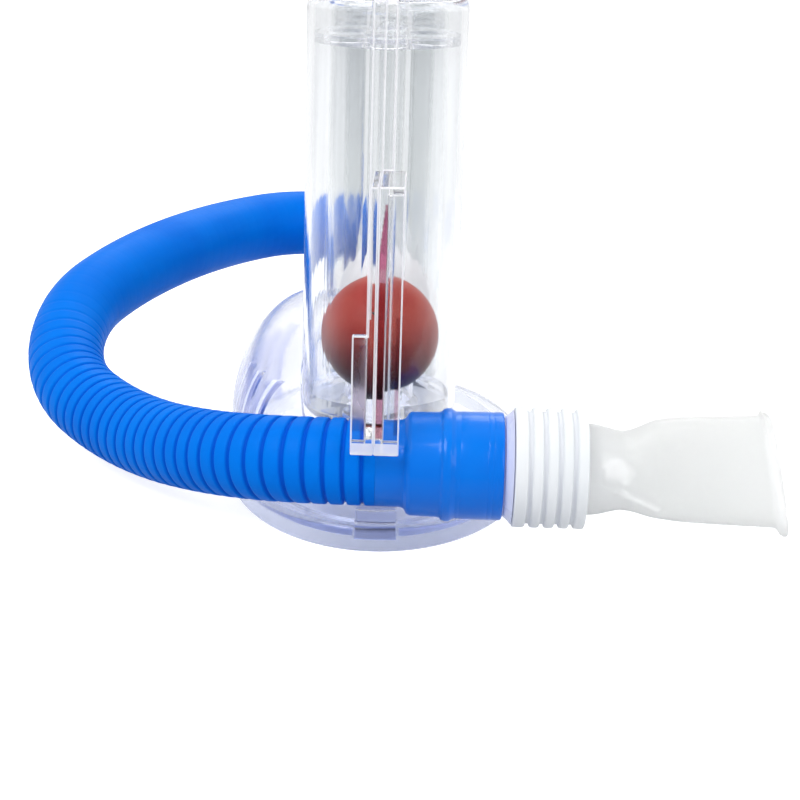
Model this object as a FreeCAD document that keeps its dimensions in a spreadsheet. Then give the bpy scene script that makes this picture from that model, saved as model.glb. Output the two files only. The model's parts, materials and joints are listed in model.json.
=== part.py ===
import FreeCAD, Part
import math
import os
import re
import Sketcher

# Three-ball incentive spirometer, seen end on in the photograph.
# +X is the rear of the device, -X the front, +Y the far end, +Z up.
# The origin is the middle of the foot, on the table.

Vector = FreeCAD.Vector
Rotation = FreeCAD.Rotation
doc = FreeCAD.newDocument("Spirometer")
sheet = doc.addObject("Spreadsheet::Sheet", "Sizes")

# Driving dimensions, millimetres and degrees
driving = {
    # balls and tower
    "BallDiameter": "31",
    "BallGap": "3.2",
    "Wall": "1.8",
    "WebThickness": "1.6",
    "MiddleChamberY": "9",
    "TowerBottomZ": "24.5",
    "TowerHeight": "108",
    "TowerRounding": "4",
    "InletRadius": "10",
    "LipThickness": "3",
    "LipProud": "4",
    "LipRounding": "6",
    "FitGap": "0.05",
    # metering seats and ball stops
    "SeatHeight": "7",
    "SeatDisc": "1.6",
    "OrificeRadius": "9",
    "BallLift": "0.05",
    "StopDepth": "8.5",
    "StopThickness": "2.5",
    "StopHoleRadius": "5",
    "StopHoleOffset": "10.5",
    "StopClearance": "0.5",
    "GalleryWidth": "14",
    "GalleryDrop": "1",
    # far-end duct and hose port
    "DuctRadius": "5.5",
    "DuctLipProud": "1.5",
    "PortZ": "37",
    "PortBossRadius": "12.5",
    "PortBossReach": "2",
    "SocketRadius": "10",
    "SocketDepth": "7",
    "SpigotLength": "11",
    "SpigotShoulder": "1.2",
    "SpigotBore": "8.6",
    # hose and its cuffs
    "HoseDiameter": "22",
    "HoseOffset": "12.3",
    "HoseAxisZ": "21",
    "HoseStartX": "0.5",
    "CuffNeckLength": "7.1",
    "CuffRadius": "13.1",
    "CuffEndRadius": "13.5",
    "CuffShoulder": "0.9",
    "BeadRadius": "14.2",
    "BeadStart": "16.4",
    "BeadWidth": "2.8",
    "CuffLength": "32.2",
    "CuffSocketDepth": "18",
    "HoseBore": "8.5",
    "DeviceNeckLength": "2",
    # adaptor, collar and mouthpiece
    "AdaptorNeckLength": "2.8",
    "AdaptorNeckRadius": "12.5",
    "AdaptorWall": "2",
    "TubeRadius": "11.5",
    "CollarLength": "18.3",
    "CollarRadius": "15.2",
    "CollarChamfer": "0.8",
    "CollarGrooves": "4",
    "CollarGrooveStart": "3.4",
    "CollarGroovePitch": "3.6",
    "CollarGrooveWidth": "1",
    "CollarGrooveDepth": "1.1",
    "AdaptorInCollar": "8.5",
    "MouthpieceInCollar": "8.8",
    "MouthpieceWall": "1.3",
    "BillEndX": "104",
    "LipFlangeX": "99.5",
    "LipFlangeTilt": "12.5",
    "LipFlangeHeight": "30.8",
    "LipFlangeDepth": "16",
    "LipFlangeThickness": "2.2",
    # clip that parks the hose at the near end
    "HookGap": "0.5",
    "HookLip": "2.7",
    "HookPlate": "2.1",
    "HookWeb": "2",
    "TipRise": "6.4",
    "TipBand": "3.3",
    "FrontHookTopZ": "57.5",
    "FrontHookWidth": "5.7",
    "RearHookTopZ": "93.5",
    "RearHookWidth": "6.2",
    "ShelfThickness": "2",
    "RestHeight": "9.9",
    "RestFrontWidth": "4.4",
    "RestRearWidth": "6",
    "RestInset": "3",
    "RestLength": "16",
    # foot, front cover and air box
    "FootLength": "142",
    "FootWidth": "85",
    "FootHeight": "6.5",
    "FootRim": "6",
    "FootRounding": "1.5",
    "TrayDepth": "4",
    "CoverY": "5",
    "CoverLength": "92",
    "CoverCentreX": "-18",
    "CoverReach": "24.5",
    "CoverSkirtZ": "13",
    "CoverRise": "35",
    "CoverWall": "1.8",
    "CoverGap": "0.3",
    "CoverRibs": "9",
    "CoverRibPitch": "8",
    "CoverRibWidth": "1.4",
    "CoverRibDepth": "1.2",
    "CoverRibTopZ": "31",
    "AirBoxWidth": "30",
    "AirBoxNearInset": "26",
    "AirBoxFarGap": "2",
    "AirBoxWall": "1.8",
    "AirSlots": "7",
    "AirSlotPitch": "12",
    "AirSlotWidth": "5",
    "AirSlotHeight": "10",
    "AirSlotZ": "5",
}

# Sizes that follow from the driving ones
derived = {
    "BallRadius": "=BallDiameter / 2",
    "ChamberRadius": "=BallRadius + BallGap",
    "LobeRadius": "=ChamberRadius + Wall",
    "Pitch": "=2 * ChamberRadius + WebThickness",
    "NearChamberY": "=MiddleChamberY - Pitch",
    "FarChamberY": "=MiddleChamberY + Pitch",
    "TowerTopZ": "=TowerBottomZ + TowerHeight",
    "FloorTopZ": "=TowerBottomZ + Wall",
    "SeatTopZ": "=FloorTopZ + SeatHeight",
    "BallRestZ": "=SeatTopZ + sqrt(BallRadius ^ 2 - OrificeRadius ^ 2) + BallLift",
    "StopBottomZ": "=TowerTopZ - Wall - StopDepth",
    "GalleryBottomZ": "=StopBottomZ + StopThickness + StopClearance",
    "GalleryTopZ": "=TowerTopZ - Wall - GalleryDrop",
    "DuctY": "=FarChamberY + ChamberRadius + WebThickness + DuctRadius",
    "DuctOuterRadius": "=DuctRadius + Wall",
    "PortFaceY": "=DuctY + DuctOuterRadius + PortBossReach",
    "SpigotEndY": "=PortFaceY + SpigotShoulder + SpigotLength",
    "HoseRadius": "=HoseDiameter / 2",
    "NearWallY": "=NearChamberY - LobeRadius",
    "HoseAxisY": "=NearWallY - HoseOffset",
    "NotchRadius": "=HoseRadius + HookGap",
    "HookInnerY": "=HoseAxisY - NotchRadius",
    "HookOuterY": "=HookInnerY - HookLip",
    "TipZ": "=HoseAxisZ + TipRise",
    "CuffEndX": "=HoseStartX + CuffLength",
    "CollarStartX": "=CuffEndX + AdaptorNeckLength",
    "CollarEndX": "=CollarStartX + CollarLength",
    "TrayFloorZ": "=FootHeight - TrayDepth",
    "AirBoxHeight": "=TowerBottomZ - TrayFloorZ",
    "AirBoxNearY": "=AirBoxNearInset + AirBoxWidth / 2 - FootLength / 2",
    "AirBoxFarY": "=FootLength / 2 - FootRim - AirBoxFarGap - AirBoxWidth / 2",
    "AirBoxCentreY": "=(AirBoxNearY + AirBoxFarY) / 2",
    "RestNearY": "=RestInset - FootLength / 2",
}

for row, (name, text) in enumerate(list(driving.items()) + list(derived.items()), start=1):
    sheet.set("A%d" % row, name)
    sheet.set("B%d" % row, text)
    sheet.setAlias("B%d" % row, name)
doc.recompute()

known = set(driving) | set(derived)
parts = []


def size(name):
    return float(sheet.get(name))


def bound(text):
    """The same expression with each size read from the sheet."""
    return re.sub(r"[A-Z]\w+", lambda found: "Sizes." + found[0] if found[0] in known else found[0], text)


def bind(item, sizes):
    for prop, text in sizes.items():
        item.setExpression(prop, bound(text))


def place(item, x="0", y="0", z="0", turn=None):
    if turn is not None:
        item.Placement = FreeCAD.Placement(Vector(), turn)
    bind(item, {"Placement.Base.x": x, "Placement.Base.y": y, "Placement.Base.z": z})


def node(item, label):
    """Marks an object as a finished piece, named as its file is."""
    item.Label = label
    parts.append(item)
    return item


def primitive(kind, name, sizes, x="0", y="0", z="0", turn=None):
    item = doc.addObject("Part::" + kind, name)
    bind(item, sizes)
    place(item, x, y, z, turn)
    return item


def fused(name, *items):
    item = doc.addObject("Part::MultiFuse", name)
    item.Shapes = list(items)
    return item


def cut(name, base, tool):
    item = doc.addObject("Part::Cut", name)
    item.Base = base
    item.Tool = tool
    return item


def plane(body, role):
    return [item for item in body.Origin.OriginFeatures if item.Role == role][0]


def profile(sketch, corners):
    """A closed outline of straight lines whose corners are bound to the sheet."""
    count = len(corners)
    for i in range(count):
        here = Vector(i, i * i, 0)
        after = Vector((i + 1) % count, ((i + 1) % count) ** 2, 0)
        sketch.addGeometry(Part.LineSegment(here, after), False)
    for i in range(count):
        sketch.addConstraint(Sketcher.Constraint("Coincident", i, 2, (i + 1) % count, 1))
    for i, (across, up) in enumerate(corners):
        for kind, text in (("DistanceX", across), ("DistanceY", up)):
            index = sketch.addConstraint(Sketcher.Constraint(kind, -1, 1, i, 1, 1.0))
            sketch.setExpression("Constraints[%d]" % index, bound(text))


def sketched(body, name, role, corners=None):
    sketch = body.newObject("Sketcher::SketchObject", name)
    sketch.AttachmentSupport = (plane(body, role), [""])
    sketch.MapMode = "FlatFace"
    if corners:
        profile(sketch, corners)
    return sketch


def turned(label, corners, role, axis, x="0", y="0", z="0"):
    """A body turned on a lathe from one outline."""
    body = doc.addObject("PartDesign::Body", label)
    sketch = sketched(body, label + "_outline", role, corners)
    turn = body.newObject("PartDesign::Revolution", label + "_turn")
    turn.Profile = sketch
    turn.ReferenceAxis = (sketch, [axis])
    turn.Angle = 360
    place(body, x, y, z)
    return body


def circle(sketch, radius, across="0", up="0"):
    index = sketch.addGeometry(Part.Circle(Vector(1, 1, 0), Vector(0, 0, 1), 3), False)
    for kind, text in (("DistanceX", across), ("DistanceY", up)):
        mark = sketch.addConstraint(Sketcher.Constraint(kind, -1, 1, index, 3, 1.0))
        sketch.setExpression("Constraints[%d]" % mark, bound(text))
    mark = sketch.addConstraint(Sketcher.Constraint("Radius", index, 3.0))
    sketch.setExpression("Constraints[%d]" % mark, bound(radius))


# Tower: three chambers and an air duct side by side, split along the seam

chambers = ("NearChamberY", "MiddleChamberY", "FarChamberY")


def roundedColumn(radius, rounding, bottom, top, y):
    """An upright round column with softened rims."""
    slope = rounding * (1 - math.sqrt(0.5))
    rim = Part.Arc(Vector(radius - rounding, 0, bottom), Vector(radius - slope, 0, bottom + slope),
                   Vector(radius, 0, bottom + rounding))
    crown = Part.Arc(Vector(radius, 0, top - rounding), Vector(radius - slope, 0, top - slope),
                     Vector(radius - rounding, 0, top))
    lines = [Part.LineSegment(Vector(0, 0, bottom), Vector(radius - rounding, 0, bottom)),
             rim,
             Part.LineSegment(Vector(radius, 0, bottom + rounding), Vector(radius, 0, top - rounding)),
             crown,
             Part.LineSegment(Vector(radius - rounding, 0, top), Vector(0, 0, top)),
             Part.LineSegment(Vector(0, 0, top), Vector(0, 0, bottom))]
    face = Part.Face(Part.Wire([line.toShape() for line in lines]))
    column = face.revolve(Vector(), Vector(0, 0, 1), 360)
    column.translate(Vector(0, y, 0))
    return column


def seamLip():
    """The flat welding lip that runs all round the seam."""
    thickness = 2 * size("LipThickness")
    near = size("NearWallY") - size("LipProud")
    far = size("DuctY") + size("DuctOuterRadius") + size("DuctLipProud")
    height = size("TowerHeight") + size("LipProud")
    lip = Part.makeBox(thickness, far - near, height, Vector(-thickness / 2, near, size("TowerBottomZ")))
    top = [edge for edge in lip.Edges
           if abs(edge.tangentAt(edge.FirstParameter).x) > 0.9 and edge.CenterOfMass.z > size("TowerTopZ")]
    return lip.makeFillet(size("LipRounding"), top)


def towerSolid():
    """Outer walls of chambers, duct and port boss with the lip."""
    bottom, top = size("TowerBottomZ"), size("TowerTopZ")
    rounding = size("TowerRounding")
    columns = [roundedColumn(size("LobeRadius"), rounding, bottom, top, size(name)) for name in chambers]
    columns.append(roundedColumn(size("DuctOuterRadius"), rounding, bottom, top, size("DuctY")))
    bossStart = size("DuctY") - size("DuctRadius") / 2
    boss = Part.makeCylinder(size("PortBossRadius"), size("PortFaceY") - bossStart,
                             Vector(0, bossStart, size("PortZ")), Vector(0, 1, 0))
    return columns[0].fuse(columns[1:] + [boss, seamLip()])


def passage(width, near, far):
    """A level air way just under the tower's roof."""
    bottom = size("GalleryBottomZ")
    return Part.makeBox(width, far - near, size("GalleryTopZ") - bottom, Vector(-width / 2, near, bottom))


def towerHollow():
    """Bores, floor holes, the gallery over the webs, the hose port and the hose's notch."""
    floor, top = size("FloorTopZ"), size("TowerTopZ") - size("Wall")
    bores = [Part.makeCylinder(size("ChamberRadius"), top - floor, Vector(0, size(name), floor))
             for name in chambers]
    inlets = [Part.makeCylinder(size("InletRadius"), 2 * size("Wall"),
                                Vector(0, size(name), size("TowerBottomZ") - size("Wall") / 2))
              for name in chambers]
    duct = Part.makeCylinder(size("DuctRadius"), top - floor, Vector(0, size("DuctY"), floor))
    gallery = passage(size("GalleryWidth"), size("NearChamberY"), size("FarChamberY"))
    outlet = passage(size("DuctRadius"), size("FarChamberY"), size("DuctY"))
    port = Part.makeCylinder(size("SocketRadius"), size("SocketDepth") + 1,
                             Vector(0, size("PortFaceY") - size("SocketDepth"), size("PortZ")), Vector(0, 1, 0))
    notch = Part.makeCylinder(size("NotchRadius"), 4 * size("RearHookWidth"),
                              Vector(-2 * size("RearHookWidth"), size("HoseAxisY"), size("HoseAxisZ")),
                              Vector(1, 0, 0))
    return bores[0].fuse(bores[1:] + inlets + [duct, gallery, outlet, port, notch])


def hook(side, width, topZ, shelf):
    """Half of the clip: a web over the hose with a lip plate at its near edge."""
    inner, outer, tip = size("HookInnerY"), size("HookOuterY"), size("TipZ")
    web, plate = size("HookWeb"), size("HookPlate")
    wall = size("NearWallY")
    left = -web if side < 0 else 0
    pieces = [Part.makeBox(web, wall - outer, topZ - tip, Vector(left, outer, tip))]
    left = -width if side < 0 else 0
    pieces.append(Part.makeBox(width, plate, topZ - tip, Vector(left, outer, tip)))
    pieces.append(Part.makeBox(width, inner - outer, size("TipBand"), Vector(left, outer, tip)))
    if shelf:
        thickness = size("ShelfThickness")
        pieces.append(Part.makeBox(width, wall - size("LipProud") - outer, thickness,
                                   Vector(left, outer, topZ - thickness)))
    return pieces[0].fuse(pieces[1:])


def towerHalf(label, side, width, topZ, shelf):
    reach = 4 * size("TowerHeight")
    left = -reach if side < 0 else 0
    half = Part.makeBox(reach, 2 * reach, 2 * reach, Vector(left, -reach, -reach))
    solid = towerSolid().common(half).fuse(hook(side, width, topZ, shelf))
    item = doc.addObject("Part::Feature", label)
    item.Shape = solid.cut(towerHollow()).removeSplitter()
    return node(item, label)


towerHalf("front_shell", -1, size("FrontHookWidth"), size("FrontHookTopZ"), False)
towerHalf("rear_shell", 1, size("RearHookWidth"), size("RearHookTopZ"), True)

# Metering seats: each lets through a different flow before its ball lifts

meterRadii = ("MeterOne", "MeterTwo", "MeterThree")
for row, (name, text) in enumerate(zip(meterRadii, ("6.5", "5", "3.8")), start=1):
    sheet.set("D%d" % row, name)
    sheet.set("E%d" % row, text)
    sheet.setAlias("E%d" % row, name)
    known.add(name)

for number, (chamber, meter) in enumerate(zip(chambers, meterRadii), start=1):
    outline = [(meter, "0"), ("ChamberRadius - FitGap", "0"), ("ChamberRadius - FitGap", "SeatHeight - 2"),
               ("OrificeRadius + 2", "SeatHeight"), ("OrificeRadius", "SeatHeight"),
               ("OrificeRadius", "SeatDisc"), (meter, "SeatDisc")]
    label = "metering_seat_%d" % number
    node(turned(label, outline, "XZ_Plane", "V_Axis", y=chamber, z="FloorTopZ"), label)

for number, chamber in enumerate(chambers, start=1):
    ball = primitive("Sphere", "Ball%d" % number, {"Radius": "BallRadius"}, y=chamber, z="BallRestZ")
    node(ball, "ball_%d" % number)


def ballStop(number, chamber):
    """A disc with four breathing holes that stops the ball at the top."""
    label = "ball_stop_%d" % number
    body = doc.addObject("PartDesign::Body", label)
    disc = sketched(body, label + "_disc", "XY_Plane")
    circle(disc, "ChamberRadius - FitGap")
    pad = body.newObject("PartDesign::Pad", label + "_pad")
    pad.Profile = disc
    bind(pad, {"Length": "StopThickness"})
    hole = sketched(body, label + "_hole", "XY_Plane")
    circle(hole, "StopHoleRadius", across="StopHoleOffset")
    pocket = body.newObject("PartDesign::Pocket", label + "_pocket")
    pocket.Profile = hole
    pocket.Type = 1
    pocket.Reversed = True
    ring = body.newObject("PartDesign::PolarPattern", label + "_ring")
    ring.Originals = [pocket]
    ring.Axis = (hole, ["N_Axis"])
    ring.Angle = 360
    ring.Occurrences = 4
    body.Tip = ring
    place(body, y=chamber, z="StopBottomZ")
    return node(body, label)


for number, chamber in enumerate(chambers, start=1):
    ballStop(number, chamber)

# Hose port at the far end
spigot = [("-SocketDepth", "SpigotBore"), ("SpigotShoulder + SpigotLength", "SpigotBore"),
          ("SpigotShoulder + SpigotLength", "HoseRadius - 0.4"),
          ("SpigotShoulder + SpigotLength - 1", "HoseRadius"), ("SpigotShoulder", "HoseRadius"),
          ("SpigotShoulder", "PortBossRadius"), ("0", "PortBossRadius"), ("0", "SocketRadius - FitGap"),
          ("-SocketDepth", "SocketRadius - FitGap")]
node(turned("hose_spigot", spigot, "YZ_Plane", "H_Axis", y="PortFaceY", z="PortZ"), "hose_spigot")

deviceCuff = [("FitGap", "HoseRadius + FitGap"), ("SpigotLength + 1", "HoseRadius + FitGap"),
              ("SpigotLength + 1", "HoseBore"), ("SpigotLength + 1 + DeviceNeckLength", "HoseBore"),
              ("SpigotLength + 1 + DeviceNeckLength", "HoseRadius"), ("SpigotLength + 1", "CuffRadius"),
              ("5", "CuffRadius"), ("4", "BeadRadius"), ("2", "BeadRadius"), ("1", "CuffRadius"),
              ("FitGap", "CuffRadius")]
node(turned("device_cuff", deviceCuff, "YZ_Plane", "H_Axis", y="PortFaceY + SpigotShoulder", z="PortZ"),
     "device_cuff")

# Patient end: cuff, adaptor, collar and mouthpiece on one axis along X
cuff = [("0", "HoseBore"), ("CuffLength - CuffSocketDepth", "HoseBore"),
        ("CuffLength - CuffSocketDepth", "TubeRadius - FitGap"), ("CuffLength", "TubeRadius - FitGap"),
        ("CuffLength", "CuffEndRadius"), ("BeadStart + BeadWidth + 0.6", "CuffEndRadius"),
        ("BeadStart + BeadWidth", "BeadRadius"), ("BeadStart", "BeadRadius"), ("BeadStart - 0.8", "CuffRadius"),
        ("CuffNeckLength + CuffShoulder", "CuffRadius"), ("CuffNeckLength", "HoseRadius"), ("0", "HoseRadius")]
node(turned("patient_cuff", cuff, "XZ_Plane", "H_Axis", x="HoseStartX", y="HoseAxisY", z="HoseAxisZ"),
     "patient_cuff")

adaptor = [("-CuffSocketDepth", "TubeRadius - AdaptorWall"),
           ("AdaptorNeckLength + AdaptorInCollar", "TubeRadius - AdaptorWall"),
           ("AdaptorNeckLength + AdaptorInCollar", "TubeRadius"), ("AdaptorNeckLength", "TubeRadius"),
           ("AdaptorNeckLength", "AdaptorNeckRadius"), ("0", "AdaptorNeckRadius"),
           ("0", "TubeRadius - 2 * FitGap"), ("-CuffSocketDepth", "TubeRadius - 2 * FitGap")]
node(turned("adaptor", adaptor, "XZ_Plane", "H_Axis", x="CuffEndX", y="HoseAxisY", z="HoseAxisZ"), "adaptor")


def ribbedCollar():
    outline = [("FitGap", "TubeRadius + FitGap"), ("CollarLength", "TubeRadius + FitGap"),
               ("CollarLength", "CollarRadius - CollarChamfer"), ("CollarLength - CollarChamfer", "CollarRadius"),
               ("FitGap + CollarChamfer", "CollarRadius"), ("FitGap", "CollarRadius - CollarChamfer")]
    body = turned("ribbed_collar", outline, "XZ_Plane", "H_Axis", x="CollarStartX", y="HoseAxisY", z="HoseAxisZ")
    slot = [("CollarGrooveStart", "CollarRadius - CollarGrooveDepth"),
            ("CollarGrooveStart + CollarGrooveWidth", "CollarRadius - CollarGrooveDepth"),
            ("CollarGrooveStart + CollarGrooveWidth", "CollarRadius + 1"), ("CollarGrooveStart", "CollarRadius + 1")]
    sketch = sketched(body, "collar_slot", "XZ_Plane", slot)
    groove = body.newObject("PartDesign::Groove", "collar_groove")
    groove.Profile = sketch
    groove.ReferenceAxis = (sketch, ["H_Axis"])
    groove.Angle = 360
    row = body.newObject("PartDesign::LinearPattern", "collar_grooves")
    row.Originals = [groove]
    row.Direction = (sketch, ["H_Axis"])
    bind(row, {"Length": "(CollarGrooves - 1) * CollarGroovePitch", "Occurrences": "CollarGrooves"})
    body.Tip = row
    return node(body, "ribbed_collar")


ribbedCollar()

# An ellipse drawn across X, with its height along Z
acrossX = Rotation(Vector(0, 1, 0), 90)


def section(name, x, height, depth):
    """An oval cross-section of the mouthpiece; the long axis is upright."""
    return primitive("Ellipse", name, {"MajorRadius": height, "MinorRadius": depth},
                     x=x, y="HoseAxisY", z="HoseAxisZ", turn=acrossX)


def lofted(name, sections):
    item = doc.addObject("Part::Loft", name)
    item.Sections = sections
    item.Solid = True
    item.Ruled = False
    return item


# Half height and half depth of the mouthpiece, from its round neck to just past its lips, evenly spaced along X
mouthSections = [("11.5", "11.5"), ("10.25", "10.2"), ("10.9", "8.3"), ("12.2", "6.7"), ("12.7", "6.1"),
                 ("13", "5.8"), ("13.25", "5.6"), ("13.5", "5.4"), ("13.7", "5.25"), ("13.9", "5.1")]
for row, (height, depth) in enumerate(mouthSections, start=1):
    for column, name, text in (("G", "MouthHeight%d" % row, height), ("H", "MouthDepth%d" % row, depth)):
        sheet.set("%s%d" % (column, row), text)
        sheet.setAlias("%s%d" % (column, row), name)
        known.add(name)
lipStation = len(mouthSections) - 2


def mouthpieceTube(name, inset):
    """The mouthpiece body from round neck to flat bill, less an even inset."""
    sections = []
    for i in range(len(mouthSections)):
        x = "CollarEndX + (BillEndX - CollarEndX) * %d / %d" % (i, lipStation)
        sections.append(section("%s%d" % (name, i), x, "MouthHeight%d - %s" % (i + 1, inset),
                                "MouthDepth%d - %s" % (i + 1, inset)))
    return lofted(name, sections)


def mouthpiece():
    body = mouthpieceTube("BillOuter", "0")
    hollow = mouthpieceTube("BillInner", "MouthpieceWall")
    neck = primitive("Cylinder", "MouthpieceNeck",
                     {"Radius": "TubeRadius", "Height": "MouthpieceInCollar"},
                     x="CollarEndX - MouthpieceInCollar", y="HoseAxisY", z="HoseAxisZ", turn=acrossX)
    bore = primitive("Cylinder", "MouthpieceBore",
                     {"Radius": "TubeRadius - MouthpieceWall", "Height": "MouthpieceInCollar + 1"},
                     x="CollarEndX - MouthpieceInCollar - 1", y="HoseAxisY", z="HoseAxisZ", turn=acrossX)
    tilted = Rotation(Vector(0, 1, 0), 90 - size("LipFlangeTilt"))
    oval = primitive("Ellipse", "LipOval", {"MajorRadius": "LipFlangeHeight / 2", "MinorRadius": "LipFlangeDepth / 2"},
                     x="LipFlangeX", y="HoseAxisY", z="HoseAxisZ", turn=tilted)
    flange = doc.addObject("Part::Extrusion", "LipFlange")
    flange.Base = oval
    flange.DirMode = "Normal"
    flange.Solid = True
    bind(flange, {"LengthFwd": "LipFlangeThickness"})
    trim = primitive("Cylinder", "BillTrim", {"Radius": "LipFlangeHeight", "Height": "LipFlangeHeight"},
                     x="LipFlangeX", y="HoseAxisY", z="HoseAxisZ", turn=tilted)
    solid = fused("MouthpieceSolid", cut("BillTrimmed", body, trim), neck, flange)
    return node(cut("MouthpieceShell", cut("MouthpieceOpen", solid, hollow), bore), "mouthpiece")


mouthpiece()

# Foot, hose rest and front cover


def oval(name, length, width, height, x="0", y="0", z="0"):
    """An upright block of oval plan, long along Y."""
    rim = primitive("Ellipse", name + "Rim", {"MajorRadius": length, "MinorRadius": width},
                    x=x, y=y, z=z, turn=Rotation(Vector(0, 0, 1), 90))
    block = doc.addObject("Part::Extrusion", name)
    block.Base = rim
    block.DirMode = "Custom"
    block.Dir = Vector(0, 0, 1)
    block.Solid = True
    bind(block, {"LengthFwd": height})
    return block


def foot():
    plate = oval("FootPlate", "FootLength / 2", "FootWidth / 2", "FootHeight")
    doc.recompute()
    rims = [i for i, edge in enumerate(plate.Shape.Edges, start=1) if len(edge.Vertexes) == 1 or edge.isClosed()]
    rounded = doc.addObject("Part::Fillet", "FootRounded")
    rounded.Base = plate
    rounded.Edges = [(i, size("FootRounding"), size("FootRounding")) for i in rims
                     if plate.Shape.Edges[i - 1].CenterOfMass.z > size("FootHeight") / 2]
    tray = oval("FootTray", "FootLength / 2 - FootRim", "FootWidth / 2 - FootRim", "TrayDepth + 1",
                z="TrayFloorZ")
    keyway = primitive("Box", "RestKeyway",
                       {"Length": "RestFrontWidth + RestRearWidth + 2 * FitGap",
                        "Width": "RestLength + 2 * FitGap", "Height": "FootHeight"},
                       x="-RestFrontWidth - FitGap", y="RestNearY - FitGap", z="TrayFloorZ")
    return node(cut("FootCut", rounded, fused("FootCuts", tray, keyway)), "foot")


foot()

block = primitive("Box", "RestBlock",
                  {"Length": "RestFrontWidth + RestRearWidth", "Width": "RestLength", "Height": "RestHeight"}, x="-RestFrontWidth", y="RestNearY", z="TrayFloorZ")
cradle = primitive("Cylinder", "RestCradle", {"Radius": "NotchRadius", "Height": "4 * RestRearWidth"},
                   x="-2 * RestRearWidth", y="HoseAxisY", z="HoseAxisZ", turn=acrossX)
node(cut("RestCut", block, cradle), "hose_rest")


def dome(name, inset):
    """Quarter dome over an oval skirt, less an even inset."""
    shell = primitive("Ellipsoid", name + "Cap",
                      {"Radius1": "CoverRise - " + inset, "Radius2": "CoverReach - " + inset,
                       "Radius3": "CoverLength / 2 - " + inset},
                      x="CoverCentreX", y="CoverY", z="CoverSkirtZ")
    shell.Angle1 = 0
    skirt = oval(name + "Skirt", "CoverLength / 2 - " + inset, "CoverReach - " + inset, "CoverSkirtZ - FootHeight",
                 x="CoverCentreX", y="CoverY", z="FootHeight")
    return fused(name, shell, skirt)


def frontCover():
    shell = cut("CoverShell", dome("CoverOuter", "0"), dome("CoverInner", "CoverWall"))
    behind = primitive("Box", "CoverBehind", {"Length": "FootWidth", "Width": "2 * FootLength", "Height": "TowerHeight"},
                       x="-TowerRounding - 2", y="-FootLength")
    columns = [primitive("Cylinder", "CoverFor" + name, {"Radius": "LobeRadius + CoverGap", "Height": "TowerHeight"},
                         y=name) for name in chambers]
    ribs = cut("CoverRibBand", dome("CoverRibOuter", "CoverWall"),
               dome("CoverRibInner", "(CoverWall + CoverRibDepth)"))
    bars = []
    for i in range(int(size("CoverRibs"))):
        shift = i - (size("CoverRibs") - 1) / 2
        bars.append(primitive("Box", "CoverBar%d" % i,
                              {"Length": "FootWidth / 2", "Width": "CoverRibWidth",
                               "Height": "CoverRibTopZ - FootHeight"},
                              x="-FootWidth / 2", y="CoverY + (%s) * CoverRibPitch - CoverRibWidth / 2" % shift,
                              z="FootHeight"))
    kept = doc.addObject("Part::Common", "CoverRibsKept")
    kept.Base = ribs
    kept.Tool = fused("CoverBars", *bars)
    whole = fused("CoverWhole", shell, kept)
    return node(cut("CoverCut", whole, fused("CoverTools", behind, *columns)), "front_cover")


frontCover()


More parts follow.
